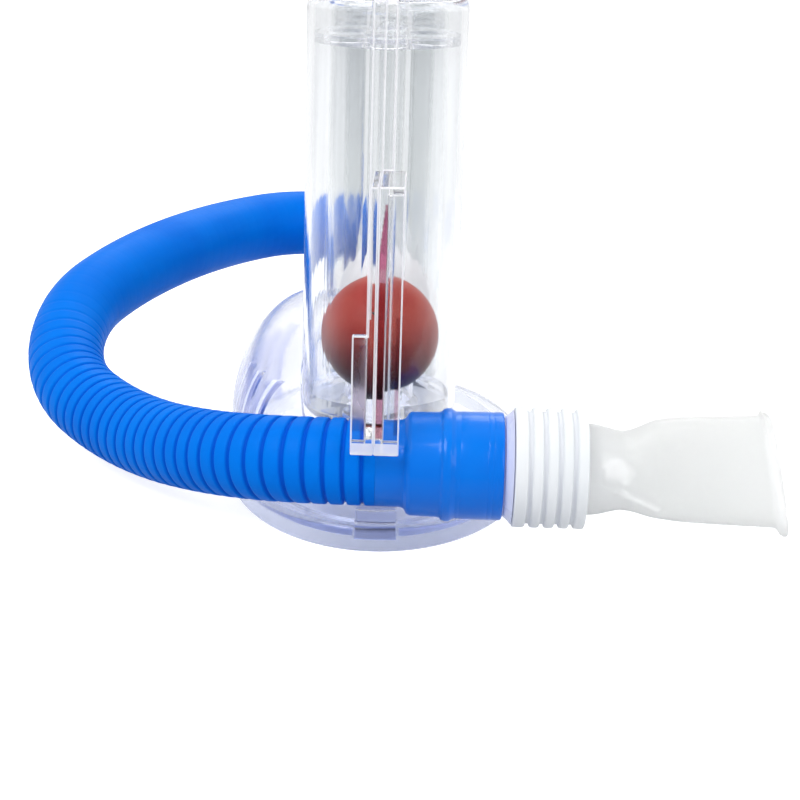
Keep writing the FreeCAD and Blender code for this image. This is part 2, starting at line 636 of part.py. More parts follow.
def airBox():
    """The hollow stand that carries the tower and lets room air in below it."""
    body = doc.addObject("PartDesign::Body", "air_box")

    def stadium(name, inset):
        sketch = sketched(body, name, "XY_Plane")
        radius = size("AirBoxWidth") / 2
        near, far = size("AirBoxNearY"), size("AirBoxFarY")
        sketch.addGeometry(Part.LineSegment(Vector(-radius, near, 0), Vector(-radius, far, 0)), False)
        sketch.addGeometry(Part.ArcOfCircle(Part.Circle(Vector(0, far, 0), Vector(0, 0, 1), radius), 0, math.pi), False)
        sketch.addGeometry(Part.LineSegment(Vector(radius, far, 0), Vector(radius, near, 0)), False)
        sketch.addGeometry(Part.ArcOfCircle(Part.Circle(Vector(0, near, 0), Vector(0, 0, 1), radius),
                                            math.pi, 2 * math.pi), False)
        for first, last in (((0, 2), (1, 2)), ((1, 1), (2, 1)), ((2, 2), (3, 2)), ((3, 1), (0, 1))):
            sketch.addConstraint(Sketcher.Constraint("Coincident", first[0], first[1], last[0], last[1]))
        for kind, item, mark, text in (("DistanceX", 1, 3, "0"), ("DistanceY", 1, 3, "AirBoxFarY"),
                                       ("DistanceX", 3, 3, "0"), ("DistanceY", 3, 3, "AirBoxNearY")):
            index = sketch.addConstraint(Sketcher.Constraint(kind, -1, 1, item, mark, 1.0))
            sketch.setExpression("Constraints[%d]" % index, bound(text))
        index = sketch.addConstraint(Sketcher.Constraint("Radius", 1, radius))
        sketch.setExpression("Constraints[%d]" % index, bound("AirBoxWidth / 2 - " + inset))
        sketch.addConstraint(Sketcher.Constraint("Equal", 1, 3))
        sketch.addConstraint(Sketcher.Constraint("Vertical", 0))
        sketch.addConstraint(Sketcher.Constraint("Vertical", 2))
        sketch.addConstraint(Sketcher.Constraint("Horizontal", 1, 1, 1, 3))
        sketch.addConstraint(Sketcher.Constraint("Horizontal", 3, 1, 3, 3))
        return sketch

    wall = body.newObject("PartDesign::Pad", "air_box_wall")
    wall.Profile = stadium("air_box_outline", "0")
    bind(wall, {"Length": "AirBoxHeight"})
    hollow = body.newObject("PartDesign::Pocket", "air_box_hollow")
    hollow.Profile = stadium("air_box_inside", "AirBoxWall")
    hollow.Type = 1
    hollow.Reversed = True
    middle = "AirBoxCentreY - (AirSlots - 1) / 2 * AirSlotPitch"
    slot = [(middle + " - AirSlotWidth / 2", "AirSlotZ"), (middle + " + AirSlotWidth / 2", "AirSlotZ"),
            (middle + " + AirSlotWidth / 2", "AirSlotZ + AirSlotHeight"),
            (middle + " - AirSlotWidth / 2", "AirSlotZ + AirSlotHeight")]
    sketch = sketched(body, "air_slot", "YZ_Plane", slot)
    pocket = body.newObject("PartDesign::Pocket", "air_slot_cut")
    pocket.Profile = sketch
    pocket.Type = 1
    pocket.Midplane = True
    row = body.newObject("PartDesign::LinearPattern", "air_slots")
    row.Originals = [pocket]
    row.Direction = (sketch, ["H_Axis"])
    bind(row, {"Length": "(AirSlots - 1) * AirSlotPitch", "Occurrences": "AirSlots"})
    body.Tip = row
    place(body, z="TrayFloorZ")
    return node(body, "air_box")


airBox()

# Hose: straight runs joined by tangent arcs from the patient cuff to the device cuff

hoseEndY = size("SpigotEndY") + 1 + size("DeviceNeckLength")
hoseRoute = [(size("HoseStartX"), size("HoseAxisY"), size("HoseAxisZ")),
             (-14.0, size("HoseAxisY"), size("HoseAxisZ")),
             (-30.2, -56.0, 19.0),
             (-45.4, -43.6, 16.0),
             (-61.0, -27.6, 13.4),
             (-76.0, -10.8, 13.6),
             (-89.6, 5.8, 17.2),
             (-95.0, 23.2, 24.6),
             (-93.0, 41.0, 32.6),
             (-85.2, 59.4, 37.0),
             (-74.6, 79.2, 40.2),
             (-64.2, 98.6, 41.4),
             (-52.4, 116.6, 41.9),
             (-38.4, 130.0, 42.4),
             (-22.4, 135.0, 41.8),
             (-8.0, 130.8, 39.8),
             (0.0, 117.0, size("PortZ")),
             (0.0, hoseEndY, size("PortZ"))]


def hosePath(points):
    """Arcs take 0.45 of the shorter run beside each corner."""
    points = [Vector(*point) for point in points]
    edges = []
    start = points[0]
    radii = []
    for before, corner, after in zip(points, points[1:], points[2:]):
        back = (before - corner).normalize()
        on = (after - corner).normalize()
        halfTurn = (math.pi - back.getAngle(on)) / 2
        reach = 0.45 * min((before - corner).Length, (after - corner).Length)
        radius = reach / math.tan(halfTurn)
        radii.append(round(radius, 1))
        first = corner + back * reach
        last = corner + on * reach
        inward = (back + on).normalize()
        middle = corner + inward * (radius / math.cos(halfTurn) - radius)
        edges.append(Part.LineSegment(start, first).toShape())
        edges.append(Part.Arc(first, middle, last).toShape())
        start = last
    edges.append(Part.LineSegment(start, points[-1]).toShape())
    print("hose arc radii", radii)
    return Part.Wire(edges)


def hoseTube():
    path = hosePath(hoseRoute)
    start = Vector(*hoseRoute[0])
    ring = Part.Wire(Part.Circle(start, Vector(*hoseRoute[0]) - Vector(*hoseRoute[1]), size("HoseRadius")).toShape())
    tube = path.makePipeShell([ring], True, False)
    expected = math.pi * size("HoseRadius") ** 2 * path.Length
    print("hose length", round(path.Length, 1), "volume ratio", round(tube.Volume / expected, 4))
    item = doc.addObject("Part::Feature", "HoseTube")
    item.Shape = tube
    return node(item, "hose_tube")


hoseTube()

doc.recompute()
failed = [item.Label for item in doc.Objects if "Invalid" in item.State or "Error" in item.State]
if failed:
    raise RuntimeError("these objects failed: " + ", ".join(failed))
for item in parts:
    if item.Shape.isNull() or not item.Shape.isValid() or not item.Shape.Solids:
        raise RuntimeError(item.Label + " has no valid solid")

os.makedirs("parts", exist_ok=True)
for item in parts:
    item.Shape.exportStep(os.path.join("parts", item.Label + ".step"))
    box = item.Shape.BoundBox
    print("%-18s solids %d  volume %9.1f  X %6.1f %6.1f  Y %6.1f %6.1f  Z %6.1f %6.1f" % (
        item.Label, len(item.Shape.Solids), item.Shape.Volume,
        box.XMin, box.XMax, box.YMin, box.YMax, box.ZMin, box.ZMax))
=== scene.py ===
import bpy
import json
import math
from mathutils import Matrix, Vector

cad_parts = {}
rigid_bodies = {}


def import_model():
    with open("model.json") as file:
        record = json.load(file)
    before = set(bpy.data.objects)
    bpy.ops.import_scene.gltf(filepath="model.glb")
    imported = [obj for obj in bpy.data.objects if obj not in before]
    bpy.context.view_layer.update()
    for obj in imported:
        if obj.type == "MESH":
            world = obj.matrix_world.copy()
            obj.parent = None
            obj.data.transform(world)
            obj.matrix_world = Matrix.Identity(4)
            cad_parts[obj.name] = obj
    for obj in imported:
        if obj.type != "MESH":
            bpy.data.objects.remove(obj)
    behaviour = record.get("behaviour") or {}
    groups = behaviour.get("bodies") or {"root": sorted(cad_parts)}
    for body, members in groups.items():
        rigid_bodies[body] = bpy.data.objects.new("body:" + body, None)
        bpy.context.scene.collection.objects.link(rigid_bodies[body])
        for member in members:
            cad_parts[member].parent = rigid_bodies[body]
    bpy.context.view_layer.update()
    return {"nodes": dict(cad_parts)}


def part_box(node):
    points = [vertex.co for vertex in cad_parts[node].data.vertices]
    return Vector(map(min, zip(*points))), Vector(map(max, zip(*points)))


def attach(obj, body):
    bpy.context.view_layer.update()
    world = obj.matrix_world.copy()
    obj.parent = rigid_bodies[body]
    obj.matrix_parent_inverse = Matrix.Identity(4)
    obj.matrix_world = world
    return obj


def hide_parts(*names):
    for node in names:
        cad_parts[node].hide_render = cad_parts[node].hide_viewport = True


# Incentive spirometer, seen from its narrow near end.
# +X is the rear, +Y the far end, +Z up; lengths are in metres.

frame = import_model()
nodes = frame["nodes"]
mm = 0.001


hoseAxisY = (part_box("adaptor")[0].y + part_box("adaptor")[1].y) / 2
hoseAxisZ = (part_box("adaptor")[0].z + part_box("adaptor")[1].z) / 2
portZ = (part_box("device_cuff")[0].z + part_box("device_cuff")[1].z) / 2
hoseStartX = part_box("patient_cuff")[0].x
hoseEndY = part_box("device_cuff")[1].y


def clearSelection():
    for item in bpy.context.scene.objects:
        item.select_set(False)
    bpy.context.view_layer.objects.active = None


def pick(item):
    clearSelection()
    item.select_set(True)
    bpy.context.view_layer.objects.active = item


def editMode(item, kind="VERT"):
    pick(item)
    bpy.ops.object.mode_set(mode="EDIT")
    bpy.ops.mesh.select_mode(type=kind)


def objectMode():
    bpy.ops.object.mode_set(mode="OBJECT")


def applyPlace(item):
    pick(item)
    bpy.ops.object.transform_apply(location=True, rotation=True, scale=True)


def applyModifiers(item):
    pick(item)
    for modifier in list(item.modifiers):
        bpy.ops.object.modifier_apply(modifier=modifier.name)


def smooth(item, degrees=35):
    pick(item)
    bpy.ops.object.shade_smooth_by_angle(angle=math.radians(degrees))


def dress(item, *materials):
    item.data.materials.clear()
    for material in materials:
        item.data.materials.append(material)


# Gives a finished piece its material, its body and the CAD nodes it stands for.
def seat(item, body, material, replaced=()):
    dress(item, material)
    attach(item, body)
    if replaced:
        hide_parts(*replaced)
    return item


# Camera: placed where the photograph was taken from

cameraSettings = {"place": (0.010257, -0.496483, 0.169559), "down": 16.925, "left": 0.553,
                  "roll": 1.656, "lens": 81.94, "sensor": 36.0}


def addCamera(settings):
    down, left, roll = (math.radians(settings[name]) for name in ("down", "left", "roll"))
    forward = Vector((-math.sin(left) * math.cos(down), math.cos(left) * math.cos(down), -math.sin(down)))
    level = Vector((math.cos(left), math.sin(left), 0))
    upward = level.cross(forward)
    right = math.cos(roll) * level + math.sin(roll) * upward
    up = math.cos(roll) * upward - math.sin(roll) * level
    data = bpy.data.cameras.new("camera")
    data.sensor_width = settings["sensor"]
    data.lens = settings["lens"]
    data.clip_start, data.clip_end = 0.01, 20
    camera = bpy.data.objects.new("camera", data)
    bpy.context.scene.collection.objects.link(camera)
    turn = Matrix((right, up, -forward)).transposed()
    camera.matrix_world = Matrix.Translation(settings["place"]) @ turn.to_4x4()
    bpy.context.scene.camera = camera


addCamera(cameraSettings)
print("camera placed")


# Materials

# Screen levels, 0 to 255, as the linear colour that shaders take.
def linear(*levels):
    values = []
    for level in levels:
        share = level / 255
        values.append(share / 12.92 if share <= 0.04045 else ((share + 0.055) / 1.055) ** 2.4)
    return (*values, 1.0)


def newGroup(name, inputs, outputs):
    group = bpy.data.node_groups.new(name, "ShaderNodeTree")
    for socket, kind, value in inputs:
        made = group.interface.new_socket(name=socket, in_out="INPUT", socket_type=kind)
        made.default_value = value
    for socket, kind in outputs:
        group.interface.new_socket(name=socket, in_out="OUTPUT", socket_type=kind)
    start = group.nodes.new("NodeGroupInput")
    end = group.nodes.new("NodeGroupOutput")
    return group, start, end


# Moulded plastic: fine grain in the height, slow drift in tone and gloss.
def mouldedSkinGroup():
    group, start, end = newGroup("mouldedSkin",
                                 [("Grain Scale", "NodeSocketFloat", 900.0),
                                  ("Drift Scale", "NodeSocketFloat", 60.0),
                                  ("Base Tone", "NodeSocketColor", (0.5, 0.5, 0.5, 1)),
                                  ("Drift Tone", "NodeSocketColor", (0.4, 0.4, 0.4, 1)),
                                  ("Gloss", "NodeSocketFloat", 0.3), ("Gloss Drift", "NodeSocketFloat", 0.1)],
                                 [("Colour", "NodeSocketColor"), ("Roughness", "NodeSocketFloat"),
                                  ("Height", "NodeSocketFloat")])
    new, link = group.nodes.new, group.links.new
    place = new("ShaderNodeTexCoord")
    grain = new("ShaderNodeTexNoise")
    grain.inputs["Detail"].default_value = 4
    drift = new("ShaderNodeTexNoise")
    drift.inputs["Detail"].default_value = 3
    for texture, scale in ((grain, "Grain Scale"), (drift, "Drift Scale")):
        link(place.outputs["Object"], texture.inputs["Vector"])
        link(start.outputs[scale], texture.inputs["Scale"])
    spread = new("ShaderNodeMapRange")
    spread.inputs["From Min"].default_value = 0.35
    spread.inputs["From Max"].default_value = 0.65
    link(drift.outputs["Fac"], spread.inputs["Value"])
    tone = new("ShaderNodeMix")
    tone.data_type = "RGBA"
    link(spread.outputs["Result"], tone.inputs["Factor"])
    link(start.outputs["Base Tone"], tone.inputs["A"])
    link(start.outputs["Drift Tone"], tone.inputs["B"])
    gloss = new("ShaderNodeMath")
    gloss.operation = "MULTIPLY_ADD"
    link(spread.outputs["Result"], gloss.inputs[0])
    link(start.outputs["Gloss Drift"], gloss.inputs[1])
    link(start.outputs["Gloss"], gloss.inputs[2])
    link(tone.outputs["Result"], end.inputs["Colour"])
    link(gloss.outputs["Value"], end.inputs["Roughness"])
    link(grain.outputs["Fac"], end.inputs["Height"])
    return group


mouldedSkin = mouldedSkinGroup()


# 1 inside a box given by its centre and half size, fading to 0 over a soft margin.
def softBoxGroup():
    group, start, end = newGroup("softBox",
                                 [("Centre", "NodeSocketVector", (0, 0, 0)),
                                  ("Half", "NodeSocketVector", (1, 1, 1)),
                                  ("Soft", "NodeSocketFloat", 0.001)], [("Inside", "NodeSocketFloat")])
    new, link = group.nodes.new, group.links.new
    place = new("ShaderNodeTexCoord")
    last = place.outputs["Object"]
    for operation, socket in (("SUBTRACT", "Centre"), ("ABSOLUTE", None), ("SUBTRACT", "Half")):
        step = new("ShaderNodeVectorMath")
        step.operation = operation
        link(last, step.inputs[0])
        if socket:
            link(start.outputs[socket], step.inputs[1])
        last = step.outputs["Vector"]
    split = new("ShaderNodeSeparateXYZ")
    link(last, split.inputs["Vector"])
    wider = new("ShaderNodeMath")
    widest = new("ShaderNodeMath")
    for step in (wider, widest):
        step.operation = "MAXIMUM"
    link(split.outputs["X"], wider.inputs[0])
    link(split.outputs["Y"], wider.inputs[1])
    link(wider.outputs["Value"], widest.inputs[0])
    link(split.outputs["Z"], widest.inputs[1])
    share = new("ShaderNodeMath")
    share.operation = "DIVIDE"
    link(widest.outputs["Value"], share.inputs[0])
    link(start.outputs["Soft"], share.inputs[1])
    fade = new("ShaderNodeMapRange")
    fade.inputs["To Min"].default_value, fade.inputs["To Max"].default_value = 1.0, 0.0
    link(share.outputs["Value"], fade.inputs["Value"])
    link(fade.outputs["Result"], end.inputs["Inside"])
    return group


softBox = softBoxGroup()


def markedBox(new, mark):
    inside = new("ShaderNodeGroup")
    inside.node_tree = softBox
    low, high = Vector(mark["low"]) * mm, Vector(mark["high"]) * mm
    inside.inputs["Centre"].default_value = (low + high) / 2
    inside.inputs["Half"].default_value = (high - low) / 2
    inside.inputs["Soft"].default_value = mark["soft"] * mm
    return inside.outputs["Inside"]


# Lays each mark's tint over a colour.
def tinted(new, link, colour, marks):
    for mark in marks:
        mix = new("ShaderNodeMix")
        mix.data_type = "RGBA"
        strength = new("ShaderNodeMath")
        strength.operation = "MULTIPLY"
        link(markedBox(new, mark), strength.inputs[0])
        strength.inputs[1].default_value = mark["strength"]
        link(strength.outputs["Value"], mix.inputs["Factor"])
        link(colour, mixSocket(mix, "A"))
        mixSocket(mix, "B").default_value = linear(*mark["colour"])
        colour = [socket for socket in mix.outputs if socket.type == "RGBA"][0]
    return colour


# Adds each mark's roughness.
def roughened(new, link, roughness, marks):
    for mark in marks:
        more = new("ShaderNodeMath")
        more.operation = "MULTIPLY_ADD"
        link(markedBox(new, mark), more.inputs[0])
        more.inputs[1].default_value = mark["roughness"]
        link(roughness, more.inputs[2])
        roughness = more.outputs["Value"]
    return roughness


# The colour sockets of a Mix node share their names with the others, so take the linked kind.
def mixSocket(node, name):
    return [socket for socket in node.inputs if socket.name == name and socket.type == "RGBA"][0]


# Starts a moulded material; gives its shader and its tinted colour too.
def skinnedMaterial(name, settings, bumpDistance):
    material = bpy.data.materials.new(name)
    material.use_nodes = True
    new, link = material.node_tree.nodes.new, material.node_tree.links.new
    shader = material.node_tree.nodes["Principled BSDF"]
    skin = new("ShaderNodeGroup")
    skin.node_tree = mouldedSkin
    skin.inputs["Grain Scale"].default_value = settings["grain"]
    skin.inputs["Drift Scale"].default_value = settings["drift"]
    skin.inputs["Base Tone"].default_value = linear(*settings["colour"])
    skin.inputs["Drift Tone"].default_value = linear(*settings["second"])
    skin.inputs["Gloss"].default_value = settings["gloss"]
    skin.inputs["Gloss Drift"].default_value = settings["glossDrift"]
    bump = new("ShaderNodeBump")
    bump.inputs["Strength"].default_value = settings["bump"]
    bump.inputs["Distance"].default_value = bumpDistance
    link(skin.outputs["Height"], bump.inputs["Height"])
    roughness = roughened(new, link, skin.outputs["Roughness"], settings.get("rough", ()))
    link(roughness, shader.inputs["Roughness"])
    link(bump.outputs["Normal"], shader.inputs["Normal"])
    colour = tinted(new, link, skin.outputs["Colour"], settings.get("tints", ()))
    return material, shader, colour


# An opaque or milky moulded plastic.
def plasticMaterial(name, settings):
    material, shader, colour = skinnedMaterial(name, settings, 0.0001)
    new, link = material.node_tree.nodes.new, material.node_tree.links.new
    # Painted light: where the attribute marks it, the colour turns toward a painted colour: painted groove
    # shade on the hose and collar, a painted highlight on the mouthpiece.
    if "paintedLightAttribute" in settings:
        shade = new("ShaderNodeAttribute")
        shade.attribute_name = settings["paintedLightAttribute"]
        mix = new("ShaderNodeMix")
        mix.data_type = "RGBA"
        link(shade.outputs["Fac"], mix.inputs["Factor"])
        link(colour, mixSocket(mix, "A"))
        mixSocket(mix, "B").default_value = linear(*settings["paintedLightColour"])
        colour = [socket for socket in mix.outputs if socket.type == "RGBA"][0]
    link(colour, shader.inputs["Base Color"])
    shader.inputs["IOR"].default_value = settings.get("ior", 1.5)
    shader.inputs["Specular IOR Level"].default_value = settings.get("specular", 0.5)
    shader.inputs["Subsurface Weight"].default_value = settings.get("milky", 0.0)
    shader.inputs["Subsurface Radius"].default_value = settings.get("depth", (0.004, 0.004, 0.004))
    shader.inputs["Emission Color"].default_value = linear(*settings["colour"])
    # Painted light: 'glow' makes the whole part glow a little, and the painted highlight marks glow more.
    if "paintedHighlightGlow" in settings:
        paintedHighlight = new("ShaderNodeAttribute")
        paintedHighlight.attribute_name = settings["paintedLightAttribute"]
        glow = new("ShaderNodeMath")
        glow.operation = "MULTIPLY_ADD"
        link(paintedHighlight.outputs["Fac"], glow.inputs[0])
        glow.inputs[1].default_value = settings["paintedHighlightGlow"]
        glow.inputs[2].default_value = settings["glow"]
        link(glow.outputs["Value"], shader.inputs["Emission Strength"])
    else:
        shader.inputs["Emission Strength"].default_value = settings.get("glow", 0.0)
    shader.inputs["Subsurface Scale"].default_value = 1.0
    shader.inputs["Transmission Weight"].default_value = settings.get("through", 0.0)
    shader.inputs["Coat Weight"].default_value = settings.get("coat", 0.0)
    shader.inputs["Coat Roughness"].default_value = settings.get("coatRoughness", 0.1)
    return material


# Clear plastic; lamps reach through it as they do through the real walls.
def clearMaterial(name, settings):
    material, shader, colour = skinnedMaterial(name, settings, 0.0003)
    new, link = material.node_tree.nodes.new, material.node_tree.links.new
    link(colour, shader.inputs["Base Color"])
    path = new("ShaderNodeLightPath")
    solid = new("ShaderNodeMath")
    solid.operation = "MULTIPLY_ADD"
    link(path.outputs["Is Shadow Ray"], solid.inputs[0])
    solid.inputs[1].default_value = -settings["letsLightThrough"]
    solid.inputs[2].default_value = 1.0
    link(solid.outputs["Value"], shader.inputs["Alpha"])
    shader.inputs["Transmission Weight"].default_value = 1.0
    shader.inputs["IOR"].default_value = settings["ior"]
    return material


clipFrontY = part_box("front_shell")[0].y / mm
seamFrontY, tipTopZ = -54.4, 30.6
coverMidY = (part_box("front_cover")[0].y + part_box("front_cover")[1].y) / 2 / mm
ballZ = (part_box("ball_1")[0].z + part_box("ball_1")[1].z) / 2 / mm
paintedBallReflection = (140, 42, 74)
nearFaceY = clipFrontY + 0.3
# Painted reflection: the pink and reddish tints on the clip's web and plates stand in for the red ball's
# colour seen through the clear plastic.
clearTower = clearMaterial("clearTower", {
    "grain": 25, "drift": 18, "colour": (250, 251, 251), "second": (246, 247, 248), "gloss": 0.04,
    "glossDrift": 0.03, "bump": 0.2, "letsLightThrough": 0.93, "ior": 1.5,
    "tints": [{"low": (0.45, clipFrontY - 1, 32), "high": (2.0, nearFaceY, 76), "soft": 0.35,
               "colour": paintedBallReflection, "strength": 0.95}]
             + [{"low": (0.45 + 0.17 * i, clipFrontY - 1, 74 + 1.6 * i),
                 "high": (2.0, nearFaceY, 78 + 1.6 * i), "soft": 0.35,
                 "colour": paintedBallReflection, "strength": 0.95} for i in range(8)]
             + [{"low": (-5.2, clipFrontY - 1, 34), "high": (-2.3, nearFaceY, 55), "soft": 0.5,
                 "colour": (176, 130, 150), "strength": 0.7},
                {"low": (5.0, clipFrontY - 1, 33), "high": (5.7, nearFaceY, 62), "soft": 0.4,
                 "colour": (176, 96, 120), "strength": 0.8}],
    "rough": [{"low": (-60, -60, -5), "high": (60, 120, 24), "soft": 3.0, "roughness": 0.22},
              {"low": (-5.3, clipFrontY - 1, 34), "high": (-2.2, clipFrontY + 0.5, 56.5), "soft": 0.5,
               "roughness": 0.22}]})
# Painted reflection and shade: the near part of the foot is tinted deeper lavender, standing in for the blue
# hose seen in it and the shadow under the hose.
clearBase = clearMaterial("clearBase", {
    "grain": 30, "drift": 20, "colour": (246, 248, 254), "second": (241, 244, 252), "gloss": 0.2,
    "glossDrift": 0.06, "bump": 0.25, "letsLightThrough": 0.93, "ior": 1.5,
    "tints": [{"low": (-60, -90, -2), "high": (60, -35, 10), "soft": 32, "colour": (192, 202, 236),
               "strength": 1.0}]})
clearRest = clearMaterial("clearRest", {
    "grain": 30, "drift": 20, "colour": (234, 237, 252), "second": (229, 233, 250), "gloss": 0.08,
    "glossDrift": 0.05, "bump": 0.25, "letsLightThrough": 0.93, "ior": 1.3})
ribPitch = 8
# Painted shade: a lavender band over each rib stands in for the darker line that the rib makes through the
# clear cover.
clearCover = clearMaterial("clearCover", {
    "grain": 30, "drift": 20, "colour": (254, 254, 255), "second": (250, 251, 255), "gloss": 0.14,
    "glossDrift": 0.05, "bump": 0.25, "letsLightThrough": 0.93, "ior": 1.16,
    "tints": [{"low": (-60, coverMidY + ribPitch * i - 1.0, 4),
               "high": (0, coverMidY + ribPitch * i + 1.0, 30),
               "soft": 1.4, "colour": (214, 218, 241), "strength": 1.0} for i in range(-4, 5)]})
clearSeat = clearMaterial("clearSeat", {
    "grain": 40, "drift": 25, "colour": (254, 254, 255), "second": (251, 251, 254), "gloss": 0.03,
    "glossDrift": 0.03, "bump": 0.2, "letsLightThrough": 0.95, "ior": 1.06})
clearFitting = clearMaterial("clearFitting", {
    "grain": 40, "drift": 25, "colour": (214, 219, 242), "second": (206, 212, 239), "gloss": 0.3,
    "glossDrift": 0.1, "bump": 0.2, "letsLightThrough": 0.8, "ior": 1.4})
# Painted light: the adaptor glows a little ('glow'), which lifts it out of the shade it sits in.
fittingLavender = plasticMaterial("fittingLavender", {
    "grain": 500, "drift": 50, "colour": (204, 210, 240), "second": (196, 203, 236), "gloss": 0.22,
    "glossDrift": 0.1, "bump": 0.1, "milky": 0.5, "glow": 0.12})
# Painted shade: the hose's grooves are darkened toward a deeper blue through the grooveShade attribute.
hoseBlue = plasticMaterial("hoseBlue", {
    "grain": 1200, "drift": 45, "colour": (0, 114, 222), "second": (0, 107, 216), "gloss": 0.4,
    "glossDrift": 0.1, "bump": 0.15, "specular": 0.03,
    "paintedLightAttribute": "grooveShade", "paintedLightColour": (0, 84, 200)})
cuffBlue = plasticMaterial("cuffBlue", {
    "grain": 1000, "drift": 50, "colour": (0, 114, 220), "second": (0, 107, 214), "gloss": 0.28,
    "glossDrift": 0.12, "bump": 0.15, "specular": 0.06, "coat": 0.25, "coatRoughness": 0.12})
# Painted shade: the collar's grooves turn a little greyer through the grooveShade attribute.
collarWhite = plasticMaterial("collarWhite", {
    "grain": 900, "drift": 60, "colour": (226, 229, 232), "second": (221, 225, 228), "gloss": 0.4,
    "glossDrift": 0.1, "bump": 0.1, "milky": 0.3, "specular": 0.3,
    "paintedLightAttribute": "grooveShade", "paintedLightColour": (222, 225, 230)})
# Painted light: the mouthpiece glows a little all over ('glow') to even out its shading, and its painted
# highlight marks turn white and glow more.
milky = plasticMaterial("milky", {
    "grain": 300, "drift": 40, "colour": (252, 253, 252), "second": (250, 252, 251), "gloss": 0.5,
    "glossDrift": 0.12, "bump": 0.12, "milky": 1.0, "depth": (0.012, 0.012, 0.012), "through": 0.45,
    "ior": 1.3, "specular": 0.2, "glow": 0.045, "paintedHighlightGlow": 0.1,
    "paintedLightAttribute": "paintedHighlight", "paintedLightColour": (255, 255, 255)})
clipWhite = plasticMaterial("clipWhite", {
    "grain": 600, "drift": 60, "colour": (246, 246, 250), "second": (238, 238, 246), "gloss": 0.3,
    "glossDrift": 0.1, "bump": 0.1, "through": 0.35, "milky": 0.4})
# Painted shade: the lower part of the red ball is tinted dark purple, standing in for its shadow and the blue
# hose's reflection.
ballRed = plasticMaterial("ballRed", {
    "grain": 500, "drift": 80, "colour": (170, 78, 70), "second": (156, 58, 54), "gloss": 0.3,
    "glossDrift": 0.1, "bump": 0.1, "specular": 0.08,
    "tints": [{"low": (-30, -60, ballZ - 40), "high": (30, 60, ballZ - 12), "soft": 17,
               "colour": (30, 0, 30), "strength": 1.0}]})
ballWhite = plasticMaterial("ballWhite", {
    "grain": 500, "drift": 80, "colour": (242, 242, 246), "second": (236, 236, 241), "gloss": 0.35,
    "glossDrift": 0.1, "bump": 0.1})
print("materials made")


# Hose: a corrugated tube on its own route

hosePoints = [(hoseStartX, hoseAxisY, hoseAxisZ),
              (-0.0140, hoseAxisY, hoseAxisZ),
              (-0.0302, -0.0560, 0.0190),
              (-0.0454, -0.0436, 0.0160),
              (-0.0610, -0.0276, 0.0134),
              (-0.0760, -0.0108, 0.0136),
              (-0.0896, 0.0058, 0.0172),
              (-0.0950, 0.0232, 0.0246),
              (-0.0930, 0.0410, 0.0326),
              (-0.0852, 0.0594, 0.0370),
              (-0.0746, 0.0792, 0.0402),
              (-0.0642, 0.0986, 0.0414),
              (-0.0524, 0.1166, 0.0419),
              (-0.0384, 0.1300, 0.0424),
              (-0.0224, 0.1350, 0.0418),
              (-0.0080, 0.1308, 0.0398),
              (0.0, 0.1170, portZ),
              (0.0, hoseEndY, portZ)]

hoseSettings = {"diameter": 0.022, "ringPitch": 0.00433, "grooveDepth": 0.00075, "farDepth": 0.02,
                "fadeStart": 0.085, "fadeEnd": 0.155, "sides": 48, "neck": 0.0031,
                "neckRings": ((0.0002, 0.93), (0.00022, 0.5), (0.00018, 0.14), (0.00025, 0.0), (0.0022, 0.0)),
                "stations": (0.0, 0.045, 0.09, 0.125, 0.17, 0.25, 0.5, 0.75, 0.83, 0.875, 0.91, 0.955, 1.0),
                "depths": (1.0, 0.97, 0.8, 0.32, 0.05, -0.01, -0.03, -0.01, 0.05, 0.32, 0.8, 0.97, 1.0)}


def routeCurve(points):
    data = bpy.data.curves.new("hoseRoute", "CURVE")
    data.dimensions = "3D"
    data.resolution_u = 24
    spline = data.splines.new("NURBS")
    spline.points.add(len(points) - 1)
    for point, place in zip(spline.points, points):
        point.co = (*place, 1)
    spline.order_u = 3
    spline.use_endpoint_u = True
    route = bpy.data.objects.new("hoseRoute", data)
    bpy.context.scene.collection.objects.link(route)
    return route


# The smooth line of the route, as Blender draws it.
def centreline(route):
    mesh = bpy.data.meshes.new_from_object(route)
    line = [vertex.co.copy() for vertex in mesh.vertices]
    bpy.data.meshes.remove(mesh)
    return line


def lineLength(line):
    return sum((after - before).length for before, after in zip(line, line[1:]))


# One ring of the hose along X: a groove, then a flat-topped land.
def ringSegment(settings, pitch):
    stations, depths = settings["stations"], settings["depths"]
    clearSelection()
    bpy.ops.mesh.primitive_cylinder_add(vertices=settings["sides"], radius=settings["diameter"] / 2,
                                        depth=pitch, end_fill_type="NOTHING",
                                        location=(pitch / 2, 0, 0), rotation=(0, math.pi / 2, 0))
    ring = bpy.context.object
    ring.name = "hose"
    applyPlace(ring)
    editMode(ring, "EDGE")
    bpy.ops.mesh.select_all(action="DESELECT")
    objectMode()
    for edge in ring.data.edges:
        one, two = (ring.data.vertices[i].co for i in edge.vertices)
        edge.select = abs(one.x - two.x) > pitch / 2
    bpy.ops.object.mode_set(mode="EDIT")
    bpy.ops.mesh.subdivide(number_cuts=len(stations) - 2)
    objectMode()
    for vertex in ring.data.vertices:
        step = round(vertex.co.x / pitch * (len(stations) - 1))
        radius = settings["diameter"] / 2 - settings["grooveDepth"] * depths[step]
        across = Vector((0, vertex.co.y, vertex.co.z)).normalized() * radius
        vertex.co = (stations[step] * pitch, across.y, across.z)
    return ring


